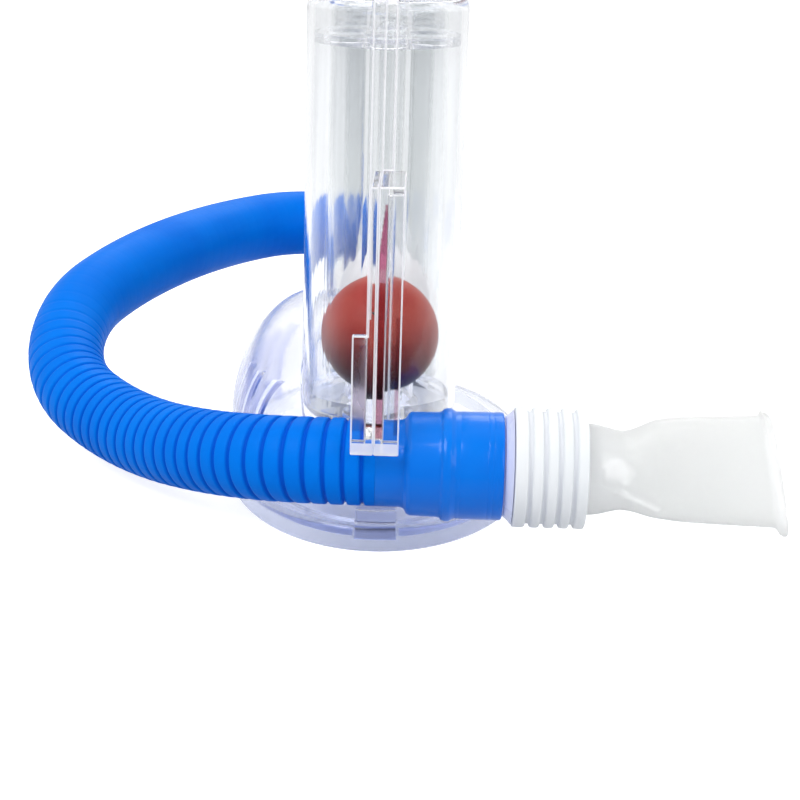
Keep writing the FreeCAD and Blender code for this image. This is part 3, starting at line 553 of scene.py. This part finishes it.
# A smooth stretch before the first groove, where the hose runs into its cuff.
def addNeck(hose, settings):
    editMode(hose, "EDGE")
    bpy.ops.mesh.select_all(action="DESELECT")
    objectMode()
    for edge in hose.data.edges:
        edge.select = all(hose.data.vertices[i].co.x < 0.00001 for i in edge.vertices)
    bpy.ops.object.mode_set(mode="EDIT")
    for step, depth in settings["neckRings"]:
        bpy.ops.mesh.extrude_region_move(TRANSFORM_OT_translate={"value": (-step, 0, 0)})
    objectMode()
    rows = sorted({round(vertex.co.x, 7) for vertex in hose.data.vertices if vertex.co.x < -0.00001})
    depths = dict(zip(reversed(rows), (depth for step, depth in settings["neckRings"])))
    for vertex in hose.data.vertices:
        if vertex.co.x < -0.00001:
            radius = settings["diameter"] / 2 - settings["grooveDepth"] * depths[round(vertex.co.x, 7)]
            across = Vector((0, vertex.co.y, vertex.co.z)).normalized() * radius
            vertex.co = (vertex.co.x, across.y, across.z)
    for vertex in hose.data.vertices:
        vertex.co.x += -rows[0]


# How deep the grooves still are this far along the hose.
def grooveShare(settings, along):
    share = (along - settings["fadeStart"]) / (settings["fadeEnd"] - settings["fadeStart"])
    share = min(1.0, max(0.0, share))
    share = share * share * (3 - 2 * share)
    return 1 - share * (1 - settings["farDepth"])


def makeHose(settings):
    route = routeCurve(hosePoints)
    line = centreline(route)
    length = lineLength(line)
    count = round((length - settings["neck"]) / settings["ringPitch"])
    hose = ringSegment(settings, (length - settings["neck"]) / count)
    array = hose.modifiers.new("rings", "ARRAY")
    array.count = count
    array.relative_offset_displace = (1, 0, 0)
    array.use_merge_vertices = True
    array.merge_threshold = 0.00001
    applyModifiers(hose)
    addNeck(hose, settings)
    # Painted shade: grooveShade is 1 at the bottom of a groove and 0 on the lands, and it fades with the
    # grooves along the hose.
    shade = hose.data.attributes.new("grooveShade", "FLOAT", "POINT")
    outer = settings["diameter"] / 2
    for vertex, mark in zip(hose.data.vertices, shade.data):
        across = Vector((0, vertex.co.y, vertex.co.z))
        depth = outer - across.length
        share = grooveShare(settings, vertex.co.x)
        mark.value = max(0.0, depth / settings["grooveDepth"]) * share
        across = across.normalized() * (outer - depth * share)
        vertex.co = (vertex.co.x, across.y, across.z)
    bend = hose.modifiers.new("bend", "CURVE")
    bend.object = route
    bend.deform_axis = "POS_X"
    applyModifiers(hose)
    bpy.data.objects.remove(route)
    smooth(hose, 60)
    seat(hose, "device", hoseBlue, ["hose_tube"])
    [tuple(point) for point in reversed(line)]
    print("hose", round(length, 4), "m,", count, "rings")
    return hose


# Clear mouldings: the CAD pieces with softened edges; the tower's roof and front web are drawn higher

mouldGap = 0.00002  # keeps two touching clear faces apart, as an air film does
shellSettings = {"edge": 0.00022, "clipEdge": 0.0004, "lift": {"above": 122, "by": 2.4},
                 "slot": "clear_shell", "look": clearTower}
clearPieces = {"front_shell": {**shellSettings, "raised": {"side": -2.0, "from": 57.5, "to": 93.4}},
               "rear_shell": shellSettings,
               "foot": {"edge": 0.0003, "slot": "clear_foot", "look": clearBase},
               "hose_rest": {"edge": 0.0004, "slot": "clear_foot", "look": clearRest},
               "front_cover": {"edge": 0.0004, "slot": "clear_foot", "look": clearCover},
               "air_box": {"edge": 0.0003, "slot": "clear_foot", "look": clearCover}}
for number in (1, 2, 3):
    clearPieces["metering_seat_%d" % number] = {"edge": 0.0002, "slot": "frosted_plastic", "look": clearSeat}
    clearPieces["ball_stop_%d" % number] = {"edge": 0.0002, "slot": "frosted_plastic", "look": clearSeat}


hookRadii = (11.2, 11.9)
webReach = 30
longEdge, straightWithin = 0.0015, 0.00001


# True on the clip's near tip and on the rounding of clip and seam, not on the hollow for the hose.
def onRoundedEdge(polygon):
    across = math.hypot(polygon.center.y - hoseAxisY, polygon.center.z - hoseAxisZ) / mm
    if polygon.center.y < (clipFrontY + 0.1) * mm and polygon.center.z < tipTopZ * mm:
        return True
    return (polygon.center.y < (seamFrontY + 0.4) * mm and max(abs(part) for part in polygon.normal) < 0.99
            and not hookRadii[0] < across < hookRadii[1])


# True on the flat top of the front half's web.
def onWebTop(polygon, settings):
    return (abs(polygon.center.z - settings["from"] * mm) < 0.0001 and polygon.normal.z > 0.9
            and polygon.center.y < (clipFrontY + webReach) * mm)


# Carries the front half's web up beside the rear one; starts and ends in edit mode.
def raiseWeb(piece, settings):
    bpy.ops.mesh.select_all(action="DESELECT")
    objectMode()
    for polygon in piece.data.polygons:
        polygon.select = onWebTop(polygon, settings)
    bpy.ops.object.mode_set(mode="EDIT")
    bpy.ops.mesh.select_mode(type="FACE")
    bpy.ops.mesh.bisect(plane_co=(settings["side"] * mm, 0, 0), plane_no=(1, 0, 0))
    bpy.ops.mesh.select_all(action="DESELECT")
    objectMode()
    for polygon in piece.data.polygons:
        polygon.select = onWebTop(polygon, settings) and polygon.center.x > settings["side"] * mm
    bpy.ops.object.mode_set(mode="EDIT")
    rise = (settings["to"] - settings["from"]) * mm
    bpy.ops.mesh.extrude_region_move(TRANSFORM_OT_translate={"value": (0, 0, rise)})


# Wider rounding on the long straight edges in front of the seam; starts and ends in edit mode.
def bevelClip(piece, width):
    bpy.ops.mesh.select_mode(type="EDGE")
    bpy.ops.mesh.select_all(action="DESELECT")
    bpy.ops.mesh.edges_select_sharp(sharpness=math.radians(60))
    objectMode()
    spots = piece.data.vertices
    for edge in piece.data.edges:
        if edge.select:
            one, two = (spots[i].co for i in edge.vertices)
            run = sorted(abs(part) for part in two - one)
            inFront = max(one.y, two.y) < seamFrontY * mm
            edge.select = inFront and run[2] > longEdge and run[1] < straightWithin
    bpy.ops.object.mode_set(mode="EDIT")
    bpy.ops.mesh.bevel(offset=width, segments=3, profile=0.5, affect="EDGES", clamp_overlap=False)


# A copy of a CAD piece as one clean skin, with rounded edges.
def moulded(name, settings, body="device"):
    source = nodes[name]
    mesh = source.data.copy()
    piece = bpy.data.objects.new(name + "_moulded", mesh)
    bpy.context.scene.collection.objects.link(piece)
    editMode(piece)
    bpy.ops.mesh.select_all(action="SELECT")
    bpy.ops.mesh.remove_doubles(threshold=0.000002)
    bpy.ops.mesh.dissolve_limited(angle_limit=math.radians(0.4))
    bpy.ops.mesh.select_all(action="SELECT")
    bpy.ops.transform.shrink_fatten(value=-mouldGap, use_even_offset=True)
    if "lift" in settings:
        objectMode()
        for vertex in mesh.vertices:
            if vertex.co.z > settings["lift"]["above"] * mm:
                vertex.co.z += settings["lift"]["by"] * mm
        bpy.ops.object.mode_set(mode="EDIT")
    if "raised" in settings:
        raiseWeb(piece, settings["raised"])
    if "clipEdge" in settings:
        bevelClip(piece, settings["clipEdge"])
        bpy.ops.mesh.select_all(action="SELECT")
        bpy.ops.mesh.bisect(plane_co=(0, 0, tipTopZ * mm), plane_no=(0, 0, 1))
    objectMode()
    if "clipEdge" in settings:
        dress(piece, settings["look"], clipWhite)
        for polygon in piece.data.polygons:
            polygon.material_index = 1 if onRoundedEdge(polygon) else 0
    if settings["edge"]:
        bevel = piece.modifiers.new("softEdges", "BEVEL")
        bevel.width = settings["edge"]
        bevel.segments = 2
        bevel.limit_method = "ANGLE"
        bevel.angle_limit = math.radians(40)
        bevel.use_clamp_overlap = True
        applyModifiers(piece)
    smooth(piece, 30)
    even = piece.modifiers.new("evenNormals", "WEIGHTED_NORMAL")
    even.keep_sharp = True
    applyModifiers(piece)
    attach(piece, body)
    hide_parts(name)
    if "clipEdge" not in settings:
        dress(piece, settings["look"])
    return piece


for name, settings in clearPieces.items():
    made = moulded(name, settings)
    print(name, len(made.data.polygons), "faces")


# Turned mouldings on the hose: cuffs and collar

patientCuff = {"start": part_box("patient_cuff")[0].x,
               "outside": [(0, 11.0), (6.2, 11.0), (7.1, 11.3), (7.9, 12.6), (8.7, 13.05), (15.5, 13.2),
                           (16.2, 13.4), (16.7, 14.0), (17.5, 14.25), (18.6, 14.2), (19.3, 13.7),
                           (19.9, 13.42), (20.7, 13.5), (20.95, 13.42), (21.2, 13.5), (27.6, 13.58),
                           (27.85, 13.48), (28.1, 13.58), (28.9, 13.58), (29.15, 13.5), (29.4, 13.58),
                           (31.1, 13.6), (31.6, 13.45), (31.78, 13.1)],
               "inside": [(31.78, 11.56), (14.3, 11.56), (14.3, 8.5), (0, 8.5)], "edge": 0.12}
deviceCuff = {"start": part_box("device_cuff")[0].y,
              "outside": [(0.02, 12.7), (0.25, 13.1), (1.1, 13.15), (1.6, 13.6), (2.2, 14.1), (3.0, 14.2),
                          (3.8, 14.1), (4.4, 13.6), (5.0, 13.2), (10.5, 13.05), (11.6, 12.6),
                          (12.4, 11.4), (13.0, 11.05), (13.93, 11.0)],
              "inside": [(13.93, 8.5), (12.0, 8.5), (12.0, 11.07), (0.02, 11.07)], "edge": 0.12}
collar = {"start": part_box("ribbed_collar")[0].x - 0.0008, "length": 18.2, "radius": 15.15, "bow": 0.2,
          "grooves": 4, "first": 3.3, "pitch": 3.65, "width": 1.25, "depth": 1.0, "inside": 11.6,
          "edge": 0.22, "gap": 0.08, "floorInset": 0.12, "lipInset": 0.04, "shoulder": 0.45,
          "shadeFrom": 0.35, "shadeOver": 0.5}
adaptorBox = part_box("adaptor")
adaptorOutline = {"outside": [(0, 11.5), (18.0, 11.5), (18.0, 12.7), (18.6, 13.1), (19.4, 13.9), (19.9, 14.5),
                              (20.0, 11.5), (28.4, 11.5), (28.6, 11.3), (28.6, 9.7), (28.4, 9.5)],
                  "inside": [(0.2, 9.5), (0, 9.7)], "edge": 0.1}


# A hollow round piece along Z, from a ring extruded through its outline, in millimetres.
def turnedPiece(name, stations, edge, sides=112, segments=2):
    clearSelection()
    along, radius = stations[0]
    bpy.ops.mesh.primitive_circle_add(vertices=sides, radius=radius * mm, location=(0, 0, along * mm))
    piece = bpy.context.object
    piece.name = name
    applyPlace(piece)
    editMode(piece, "EDGE")
    bpy.ops.mesh.select_all(action="SELECT")
    for (before, oldRadius), (after, newRadius) in zip(stations, stations[1:] + stations[:1]):
        bpy.ops.mesh.extrude_region_move(TRANSFORM_OT_translate={"value": (0, 0, (after - before) * mm)})
        share = newRadius / oldRadius
        bpy.ops.transform.resize(value=(share, share, 1), center_override=(0, 0, after * mm))
    bpy.ops.mesh.select_all(action="SELECT")
    bpy.ops.mesh.remove_doubles(threshold=0.000003)
    bpy.ops.mesh.normals_make_consistent(inside=False)
    objectMode()
    bevel = piece.modifiers.new("softEdges", "BEVEL")
    bevel.width = edge * mm
    bevel.segments = segments
    bevel.limit_method = "ANGLE"
    bevel.angle_limit = math.radians(28)
    applyModifiers(piece)
    smooth(piece, 50)
    return piece


def stand(piece, turn, place):
    piece.rotation_euler = turn
    piece.location = place
    applyPlace(piece)
    return piece


alongX, alongY = (0, math.pi / 2, 0), (-math.pi / 2, 0, 0)


# Lands that bow out a little between square grooves.
def collarOutline(settings):
    radius, length, gap = settings["radius"], settings["length"], settings["gap"]
    floorInset, lipInset, shoulder = (settings[name] for name in ("floorInset", "lipInset", "shoulder"))
    low, middle, floor = radius - settings["bow"], radius - settings["bow"] / 3, radius - settings["depth"]
    cuts = [settings["first"] + i * settings["pitch"] for i in range(settings["grooves"])]
    starts = [gap] + [cut + settings["width"] for cut in cuts]
    ends = cuts + [length]
    outline = []
    for start, end in zip(starts, ends):
        if start > gap:
            outline.append((start - floorInset, floor))
        outline += [(start + lipInset, low), (start + shoulder, middle), ((start + end) / 2, radius),
                    (end - shoulder, middle), (end - lipInset, low)]
        if end < length:
            outline.append((end + floorInset, floor))
    return outline + [(length, settings["inside"]), (gap, settings["inside"])]


cuffPiece = turnedPiece("patientCuff", patientCuff["outside"] + patientCuff["inside"], patientCuff["edge"])
stand(cuffPiece, alongX, (patientCuff["start"], hoseAxisY, hoseAxisZ))
seat(cuffPiece, "device", cuffBlue, ["patient_cuff"])
portPiece = turnedPiece("deviceCuff", deviceCuff["outside"] + deviceCuff["inside"], deviceCuff["edge"])
stand(portPiece, alongY, (0, deviceCuff["start"], portZ))
seat(portPiece, "device", cuffBlue, ["device_cuff"])
collarPiece = turnedPiece("collar", collarOutline(collar), collar["edge"])
stand(collarPiece, alongX, (collar["start"], hoseAxisY, hoseAxisZ))
# Painted shade: grooveShade rises from 0 at the lands to 1 deeper in the collar's grooves.
grooves = collarPiece.data.attributes.new("grooveShade", "FLOAT", "POINT")
for vertex, mark in zip(collarPiece.data.vertices, grooves.data):
    reach = math.hypot(vertex.co.y - hoseAxisY, vertex.co.z - hoseAxisZ) / mm
    mark.value = min(1.0, max(0.0, (collar["radius"] - collar["shadeFrom"] - reach) / collar["shadeOver"]))
seat(collarPiece, "collar", collarWhite, ["ribbed_collar"])
adaptorPiece = turnedPiece("adaptorTube", adaptorOutline["outside"] + adaptorOutline["inside"],
                           adaptorOutline["edge"])
stand(adaptorPiece, alongX, (adaptorBox[0].x, hoseAxisY, hoseAxisZ))
seat(adaptorPiece, "device", fittingLavender, ["adaptor"])
print("cuffs and collar turned")


# Mouthpiece: round neck, pinched waist, flat bill and a slanted lip

mouthpiece = {"sides": 192, "wall": 1.3, "lipFrom": 90.0, "lipAt": 99.5, "tilt": 12.5, "square": 0.22,
              "crown": 1.5, "crownOver": (62, 70), "crownEnds": (99.0, 100.4), "dense": (56, 73, 0.35),
              "tubeTo": 98, "flatOver": (64, 80), "billHalf": (13.0, 5.5), "swell": 0.35,
              "nearFrom": 4, "paintedHighlightSoft": 0.25,
              "outside": [(45.05, 11.45, 11.45), (53.8, 11.5, 11.5), (56.0, 11.3, 11.3), (58.0, 10.85, 10.9),
                          (60.1, 10.3, 10.2), (62.0, 10.05, 9.5), (64.2, 10.3, 8.85), (66.4, 10.85, 8.3),
                          (68.6, 11.5, 7.6), (70.6, 11.95, 7.05), (72.7, 12.2, 6.7), (76.0, 12.5, 6.35),
                          (79.0, 12.7, 6.1), (85.3, 13.0, 5.8), (91.5, 13.25, 5.6), (95.0, 13.4, 5.5),
                          (98.2, 13.55, 5.45), (98.9, 13.8, 5.7), (99.3, 14.5, 6.6), (99.6, 15.1, 7.5),
                          (100.3, 15.5, 7.95), (101.1, 15.45, 7.9), (101.6, 14.9, 7.3), (101.68, 14.0, 6.2)],
              "mouth": [(101.6, 12.7, 4.6), (101.0, 12.3, 4.2)],
              "fold": {"from": (60.5, 18.0), "to": (71.0, 12.6), "rise": 0.55, "width": 1.1,
                       "over": (54, 58)},
              "dent": {"at": (60.0, 23.0), "reach": (4.6, 3.6), "depth": 0.5, "over": (54, 57),
                       "fade": (0.55, 1.1)},
              # Painted highlight: the patch, streak and lip line below mark where the near side is drawn
              # white, as if catching the lamp.
              "patch": [(56.6, 26.3), (60.3, 27.3), (61.7, 25.8), (64.2, 23.2), (62.6, 21.6), (62.2, 19.9),
                        (60.4, 21.9), (57.2, 22.4)],
              "streak": {"from": (61.6, 18.2), "to": (71.2, 12.6), "width": 0.55},
              "lipLine": {"from": (98.9, 29.5), "to": (101.9, 12.0), "width": 0.25}}


# The stations with more of them, evenly spaced in between, where the near side carries fine marks.
def denser(stations, low, high, step):
    dense = []
    for one, two in zip(stations, stations[1:]):
        dense.append(one)
        count = round((two[0] - one[0]) / step) if low <= one[0] and two[0] <= high else 0
        for i in range(1, count):
            share = i / count
            dense.append(tuple(a + (b - a) * share for a, b in zip(one, two)))
    return dense + stations[-1:]


# A closed skin from one ring extruded through oval stations along Z: place, half height, half depth.
def ovalTube(name, stations, sides):
    clearSelection()
    along, tall, deep = stations[0]
    bpy.ops.mesh.primitive_circle_add(vertices=sides, radius=mm, location=(0, 0, along * mm))
    piece = bpy.context.object
    piece.name = name
    applyPlace(piece)
    editMode(piece, "EDGE")
    bpy.ops.mesh.select_all(action="SELECT")
    bpy.ops.transform.resize(value=(tall, deep, 1), center_override=(0, 0, along * mm))
    for before, after in zip(stations, stations[1:] + stations[:1]):
        step = (after[0] - before[0]) * mm
        bpy.ops.mesh.extrude_region_move(TRANSFORM_OT_translate={"value": (0, 0, step)})
        bpy.ops.transform.resize(value=(after[1] / before[1], after[2] / before[2], 1),
                                 center_override=(0, 0, after[0] * mm))
    bpy.ops.mesh.select_all(action="SELECT")
    bpy.ops.mesh.remove_doubles(threshold=0.000003)
    bpy.ops.mesh.normals_make_consistent(inside=False)
    objectMode()
    return piece


def ease(value, low, high):
    share = min(1.0, max(0.0, (value - low) / (high - low)))
    return share * share * (3 - 2 * share)


# Squares the bill's corners, presses in the fold and dent, and slants the lip.
def shapeBill(piece, settings):
    fold, dent = settings["fold"], settings["dent"]
    run = Vector(fold["to"]) - Vector(fold["from"])
    halfHigh, halfDeep = settings["billHalf"]
    for vertex in piece.data.vertices:
        x, y, z = vertex.co / mm
        high, deep = z - hoseAxisZ / mm, y - hoseAxisY / mm
        reach = math.hypot(high, deep)
        flat = ease(x, *settings["flatOver"])
        corner = abs(math.sin(2 * math.atan2(deep / halfDeep, high / halfHigh)))
        swell = 1 + settings["square"] * flat * settings["swell"] * corner
        high, deep = high * swell, deep * swell
        if high > 0:
            high += (settings["crown"] * (high / halfHigh) * ease(x, *settings["crownOver"])
                     * (1 - ease(x, *settings["crownEnds"])))
        if deep < 0 and reach > settings["nearFrom"]:
            along = (Vector((x, z)) - Vector(fold["from"])).dot(run) / run.length_squared
            off = (Vector((x, z)) - Vector(fold["from"]) - run * min(1, max(0, along))).length
            deep -= fold["rise"] * math.exp(-(off / fold["width"]) ** 2) * ease(x, *fold["over"])
            away = math.hypot((x - dent["at"][0]) / dent["reach"][0], (z - dent["at"][1]) / dent["reach"][1])
            deep += dent["depth"] * (1 - ease(away, *dent["fade"])) * ease(x, *dent["over"])
        x -= high * math.tan(math.radians(settings["tilt"])) * ease(x, settings["lipFrom"], settings["lipAt"])
        vertex.co = (x * mm, hoseAxisY + deep * mm, hoseAxisZ + high * mm)


def distanceToRun(spot, start, end):
    run = end - start
    share = min(1.0, max(0.0, (spot - start).dot(run) / run.length_squared))
    return (spot - start - run * share).length


# How far a spot lies inside an outline, in the outline's own units; negative outside.
def insideShape(spot, corners):
    corners = [Vector(corner) for corner in corners]
    inside = False
    near = 99.0
    for one, two in zip(corners, corners[1:] + corners[:1]):
        near = min(near, distanceToRun(spot, one, two))
        if (one.y > spot.y) != (two.y > spot.y):
            if spot.x < (two.x - one.x) * (spot.y - one.y) / (two.y - one.y) + one.x:
                inside = not inside
    return near if inside else -near


# Painted highlight: marks where the near side is drawn as catching the lamp: a patch on the waist, a streak
# on the fold, a line on the lip.
def paintHighlights(piece, settings):
    paintedHighlight = piece.data.attributes.new("paintedHighlight", "FLOAT", "POINT")
    soft = settings["paintedHighlightSoft"]
    for vertex, mark in zip(piece.data.vertices, paintedHighlight.data):
        spot = Vector((vertex.co.x, vertex.co.z)) / mm
        mark.value = 0.0
        if vertex.co.y < hoseAxisY:
            mark.value = ease(insideShape(spot, settings["patch"]), -soft, soft)
            for line in (settings["streak"], settings["lipLine"]):
                off = distanceToRun(spot, Vector(line["from"]), Vector(line["to"]))
                mark.value = max(mark.value, 1 - ease(off, line["width"] - soft, line["width"] + soft))


def makeMouthpiece(settings):
    wall = settings["wall"]
    outside = denser(settings["outside"], *settings["dense"])
    tube = [station for station in outside if station[0] < settings["tubeTo"]]
    inside = [(along, tall - wall, deep - wall) for along, tall, deep in reversed(tube)]
    piece = ovalTube("mouthpieceBill", outside + settings["mouth"] + inside, settings["sides"])
    stand(piece, alongX, (0, hoseAxisY, hoseAxisZ))
    shapeBill(piece, settings)
    paintHighlights(piece, settings)
    smooth(piece, 50)
    return seat(piece, "mouthpiece", milky, ["mouthpiece"])


mouthpiecePiece = makeMouthpiece(mouthpiece)
print("mouthpiece made")


makeHose(hoseSettings)


# CAD pieces that keep their shape

kept = {"hose_spigot": clearFitting, "ball_1": ballRed, "ball_2": ballWhite, "ball_3": ballWhite}
for name, material in kept.items():
    dress(nodes[name], material)
print("kept pieces dressed")


# Stage: pale floor, soft studio light

# Two marks: 1 for a camera ray, and 1 for a mirrored ray or a ray through clear plastic.
def seenDirectly(new, link):
    path = new("ShaderNodeLightPath")
    either = new("ShaderNodeMath")
    either.operation = "MAXIMUM"
    link(path.outputs["Is Transmission Ray"], either.inputs[0])
    link(path.outputs["Is Glossy Ray"], either.inputs[1])
    return path.outputs["Is Camera Ray"], either.outputs["Value"]


# first * firstLevel + second * secondLevel + rest; the levels may be sockets.
def weighed(new, link, first, firstLevel, second, secondLevel, rest):
    ends = []
    for value, level in ((first, firstLevel), (second, secondLevel)):
        times = new("ShaderNodeMath")
        times.operation = "MULTIPLY"
        link(value, times.inputs[0])
        if isinstance(level, float):
            times.inputs[1].default_value = level
        else:
            link(level, times.inputs[1])
        ends.append(times.outputs["Value"])
    both = new("ShaderNodeMath")
    both.operation = "ADD"
    link(ends[0], both.inputs[0])
    link(ends[1], both.inputs[1])
    total = new("ShaderNodeMath")
    total.operation = "ADD"
    link(both.outputs["Value"], total.inputs[0])
    total.inputs[1].default_value = rest
    return total.outputs["Value"]


def whiteWorld(settings):
    world = bpy.data.worlds.new("studio")
    bpy.context.scene.world = world
    world.use_nodes = True
    new, link = world.node_tree.nodes.new, world.node_tree.links.new
    back = world.node_tree.nodes["Background"]
    back.inputs["Color"].default_value = (1, 1, 1, 1)
    camera, through = seenDirectly(new, link)
    ambient = settings["ambient"]
    place = new("ShaderNodeTexCoord")
    split = new("ShaderNodeSeparateXYZ")
    link(place.outputs["Generated"], split.inputs["Vector"])
    side = new("ShaderNodeMapRange")
    side.inputs["From Min"].default_value, side.inputs["From Max"].default_value = settings["turnsWhite"]
    side.inputs["To Min"].default_value = settings["frontMirrored"] - ambient
    side.inputs["To Max"].default_value = settings["mirrored"] - ambient
    link(split.outputs["Y"], side.inputs["Value"])
    level = weighed(new, link, camera, 1.0 - ambient, through, side.outputs["Result"], ambient)
    link(level, back.inputs["Strength"])


def paleFloor(settings):
    clearSelection()
    bpy.ops.mesh.primitive_plane_add(size=settings["size"], location=(0, 0, -0.0002))
    floor = bpy.context.object
    floor.name = "floor"
    applyPlace(floor)
    material = bpy.data.materials.new("paleFloor")
    material.use_nodes = True
    new, link = material.node_tree.nodes.new, material.node_tree.links.new
    shader = material.node_tree.nodes["Principled BSDF"]
    shader.inputs["Base Color"].default_value = linear(*settings["colour"])
    shader.inputs["Roughness"].default_value = 0.9
    shader.inputs["Specular IOR Level"].default_value = 0.0
    shader.inputs["Emission Color"].default_value = (1, 1, 1, 1)
    camera, through = seenDirectly(new, link)
    place = new("ShaderNodeTexCoord")
    split = new("ShaderNodeSeparateXYZ")
    link(place.outputs["Object"], split.inputs["Vector"])
    reach = new("ShaderNodeMapRange")
    nearest, farthest = settings["shine"][0][0], settings["shine"][-1][0]
    reach.inputs["From Min"].default_value, reach.inputs["From Max"].default_value = nearest, farthest
    link(split.outputs["Y"], reach.inputs["Value"])
    shine = new("ShaderNodeValToRGB")
    stops = shine.color_ramp.elements
    while len(stops) < len(settings["shine"]):
        stops.new(0.5)
    for stop, (along, level) in zip(stops, settings["shine"]):
        stop.position = (along - nearest) / (farthest - nearest)
        stop.color = (level, level, level, 1)
    link(reach.outputs["Result"], shine.inputs["Fac"])
    level = weighed(new, link, camera, settings["whiteBy"], through, shine.outputs["Color"], 0.0)
    link(level, shader.inputs["Emission Strength"])
    front = new("ShaderNodeMapRange")
    front.inputs["From Min"].default_value, front.inputs["From Max"].default_value = settings["frontDims"]
    front.inputs["To Min"].default_value, front.inputs["To Max"].default_value = 1.0, 0.0
    link(split.outputs["Y"], front.inputs["Value"])
    dim = new("ShaderNodeMath")
    dim.operation = "MULTIPLY"
    link(front.outputs["Result"], dim.inputs[0])
    link(through, dim.inputs[1])
    tone = new("ShaderNodeMix")
    tone.data_type = "RGBA"
    link(dim.outputs["Value"], tone.inputs["Factor"])
    mixSocket(tone, "A").default_value = linear(*settings["colour"])
    mixSocket(tone, "B").default_value = linear(*settings["frontColour"])
    link([socket for socket in tone.outputs if socket.type == "RGBA"][0], shader.inputs["Base Color"])
    dress(floor, material)


def areaLamp(name, place, aim, size, power):
    data = bpy.data.lights.new(name, "AREA")
    data.shape = "RECTANGLE"
    data.size, data.size_y = size
    data.energy = power
    lamp = bpy.data.objects.new(name, data)
    bpy.context.scene.collection.objects.link(lamp)
    direction = Vector(aim) - Vector(place)
    lamp.matrix_world = Matrix.Translation(place) @ direction.to_track_quat("-Z", "Y").to_matrix().to_4x4()


bpy.context.scene.view_settings.view_transform = "Standard"
whiteWorld({"ambient": 0.72, "mirrored": 0.95, "frontMirrored": 0.16, "turnsWhite": (-0.35, 0.1)})
paleFloor({"size": 12, "colour": (205, 206, 209), "whiteBy": 0.8,
           "shine": [(-0.3, 0.0), (-0.13, 0.0), (-0.06, 0.5), (0.2, 0.5), (0.36, 0.26), (0.9, 0.42),
                     (1.8, 0.55)],
           "frontDims": (-0.2, -0.08), "frontColour": (64, 64, 67)})
areaLamp("key", (-0.55, -0.55, 0.9), (0, 0, 0.05), (0.5, 0.5), 6.5)
areaLamp("fill", (0.7, -0.6, 0.45), (0, 0, 0.05), (0.6, 0.6), 3.0)
areaLamp("back", (0.1, 0.9, 0.8), (0, 0, 0.05), (0.8, 0.5), 4.0)
for limit in ("max_bounces", "glossy_bounces", "transmission_bounces", "transparent_max_bounces"):
    setattr(bpy.context.scene.cycles, limit, 48)
print("stage lit")
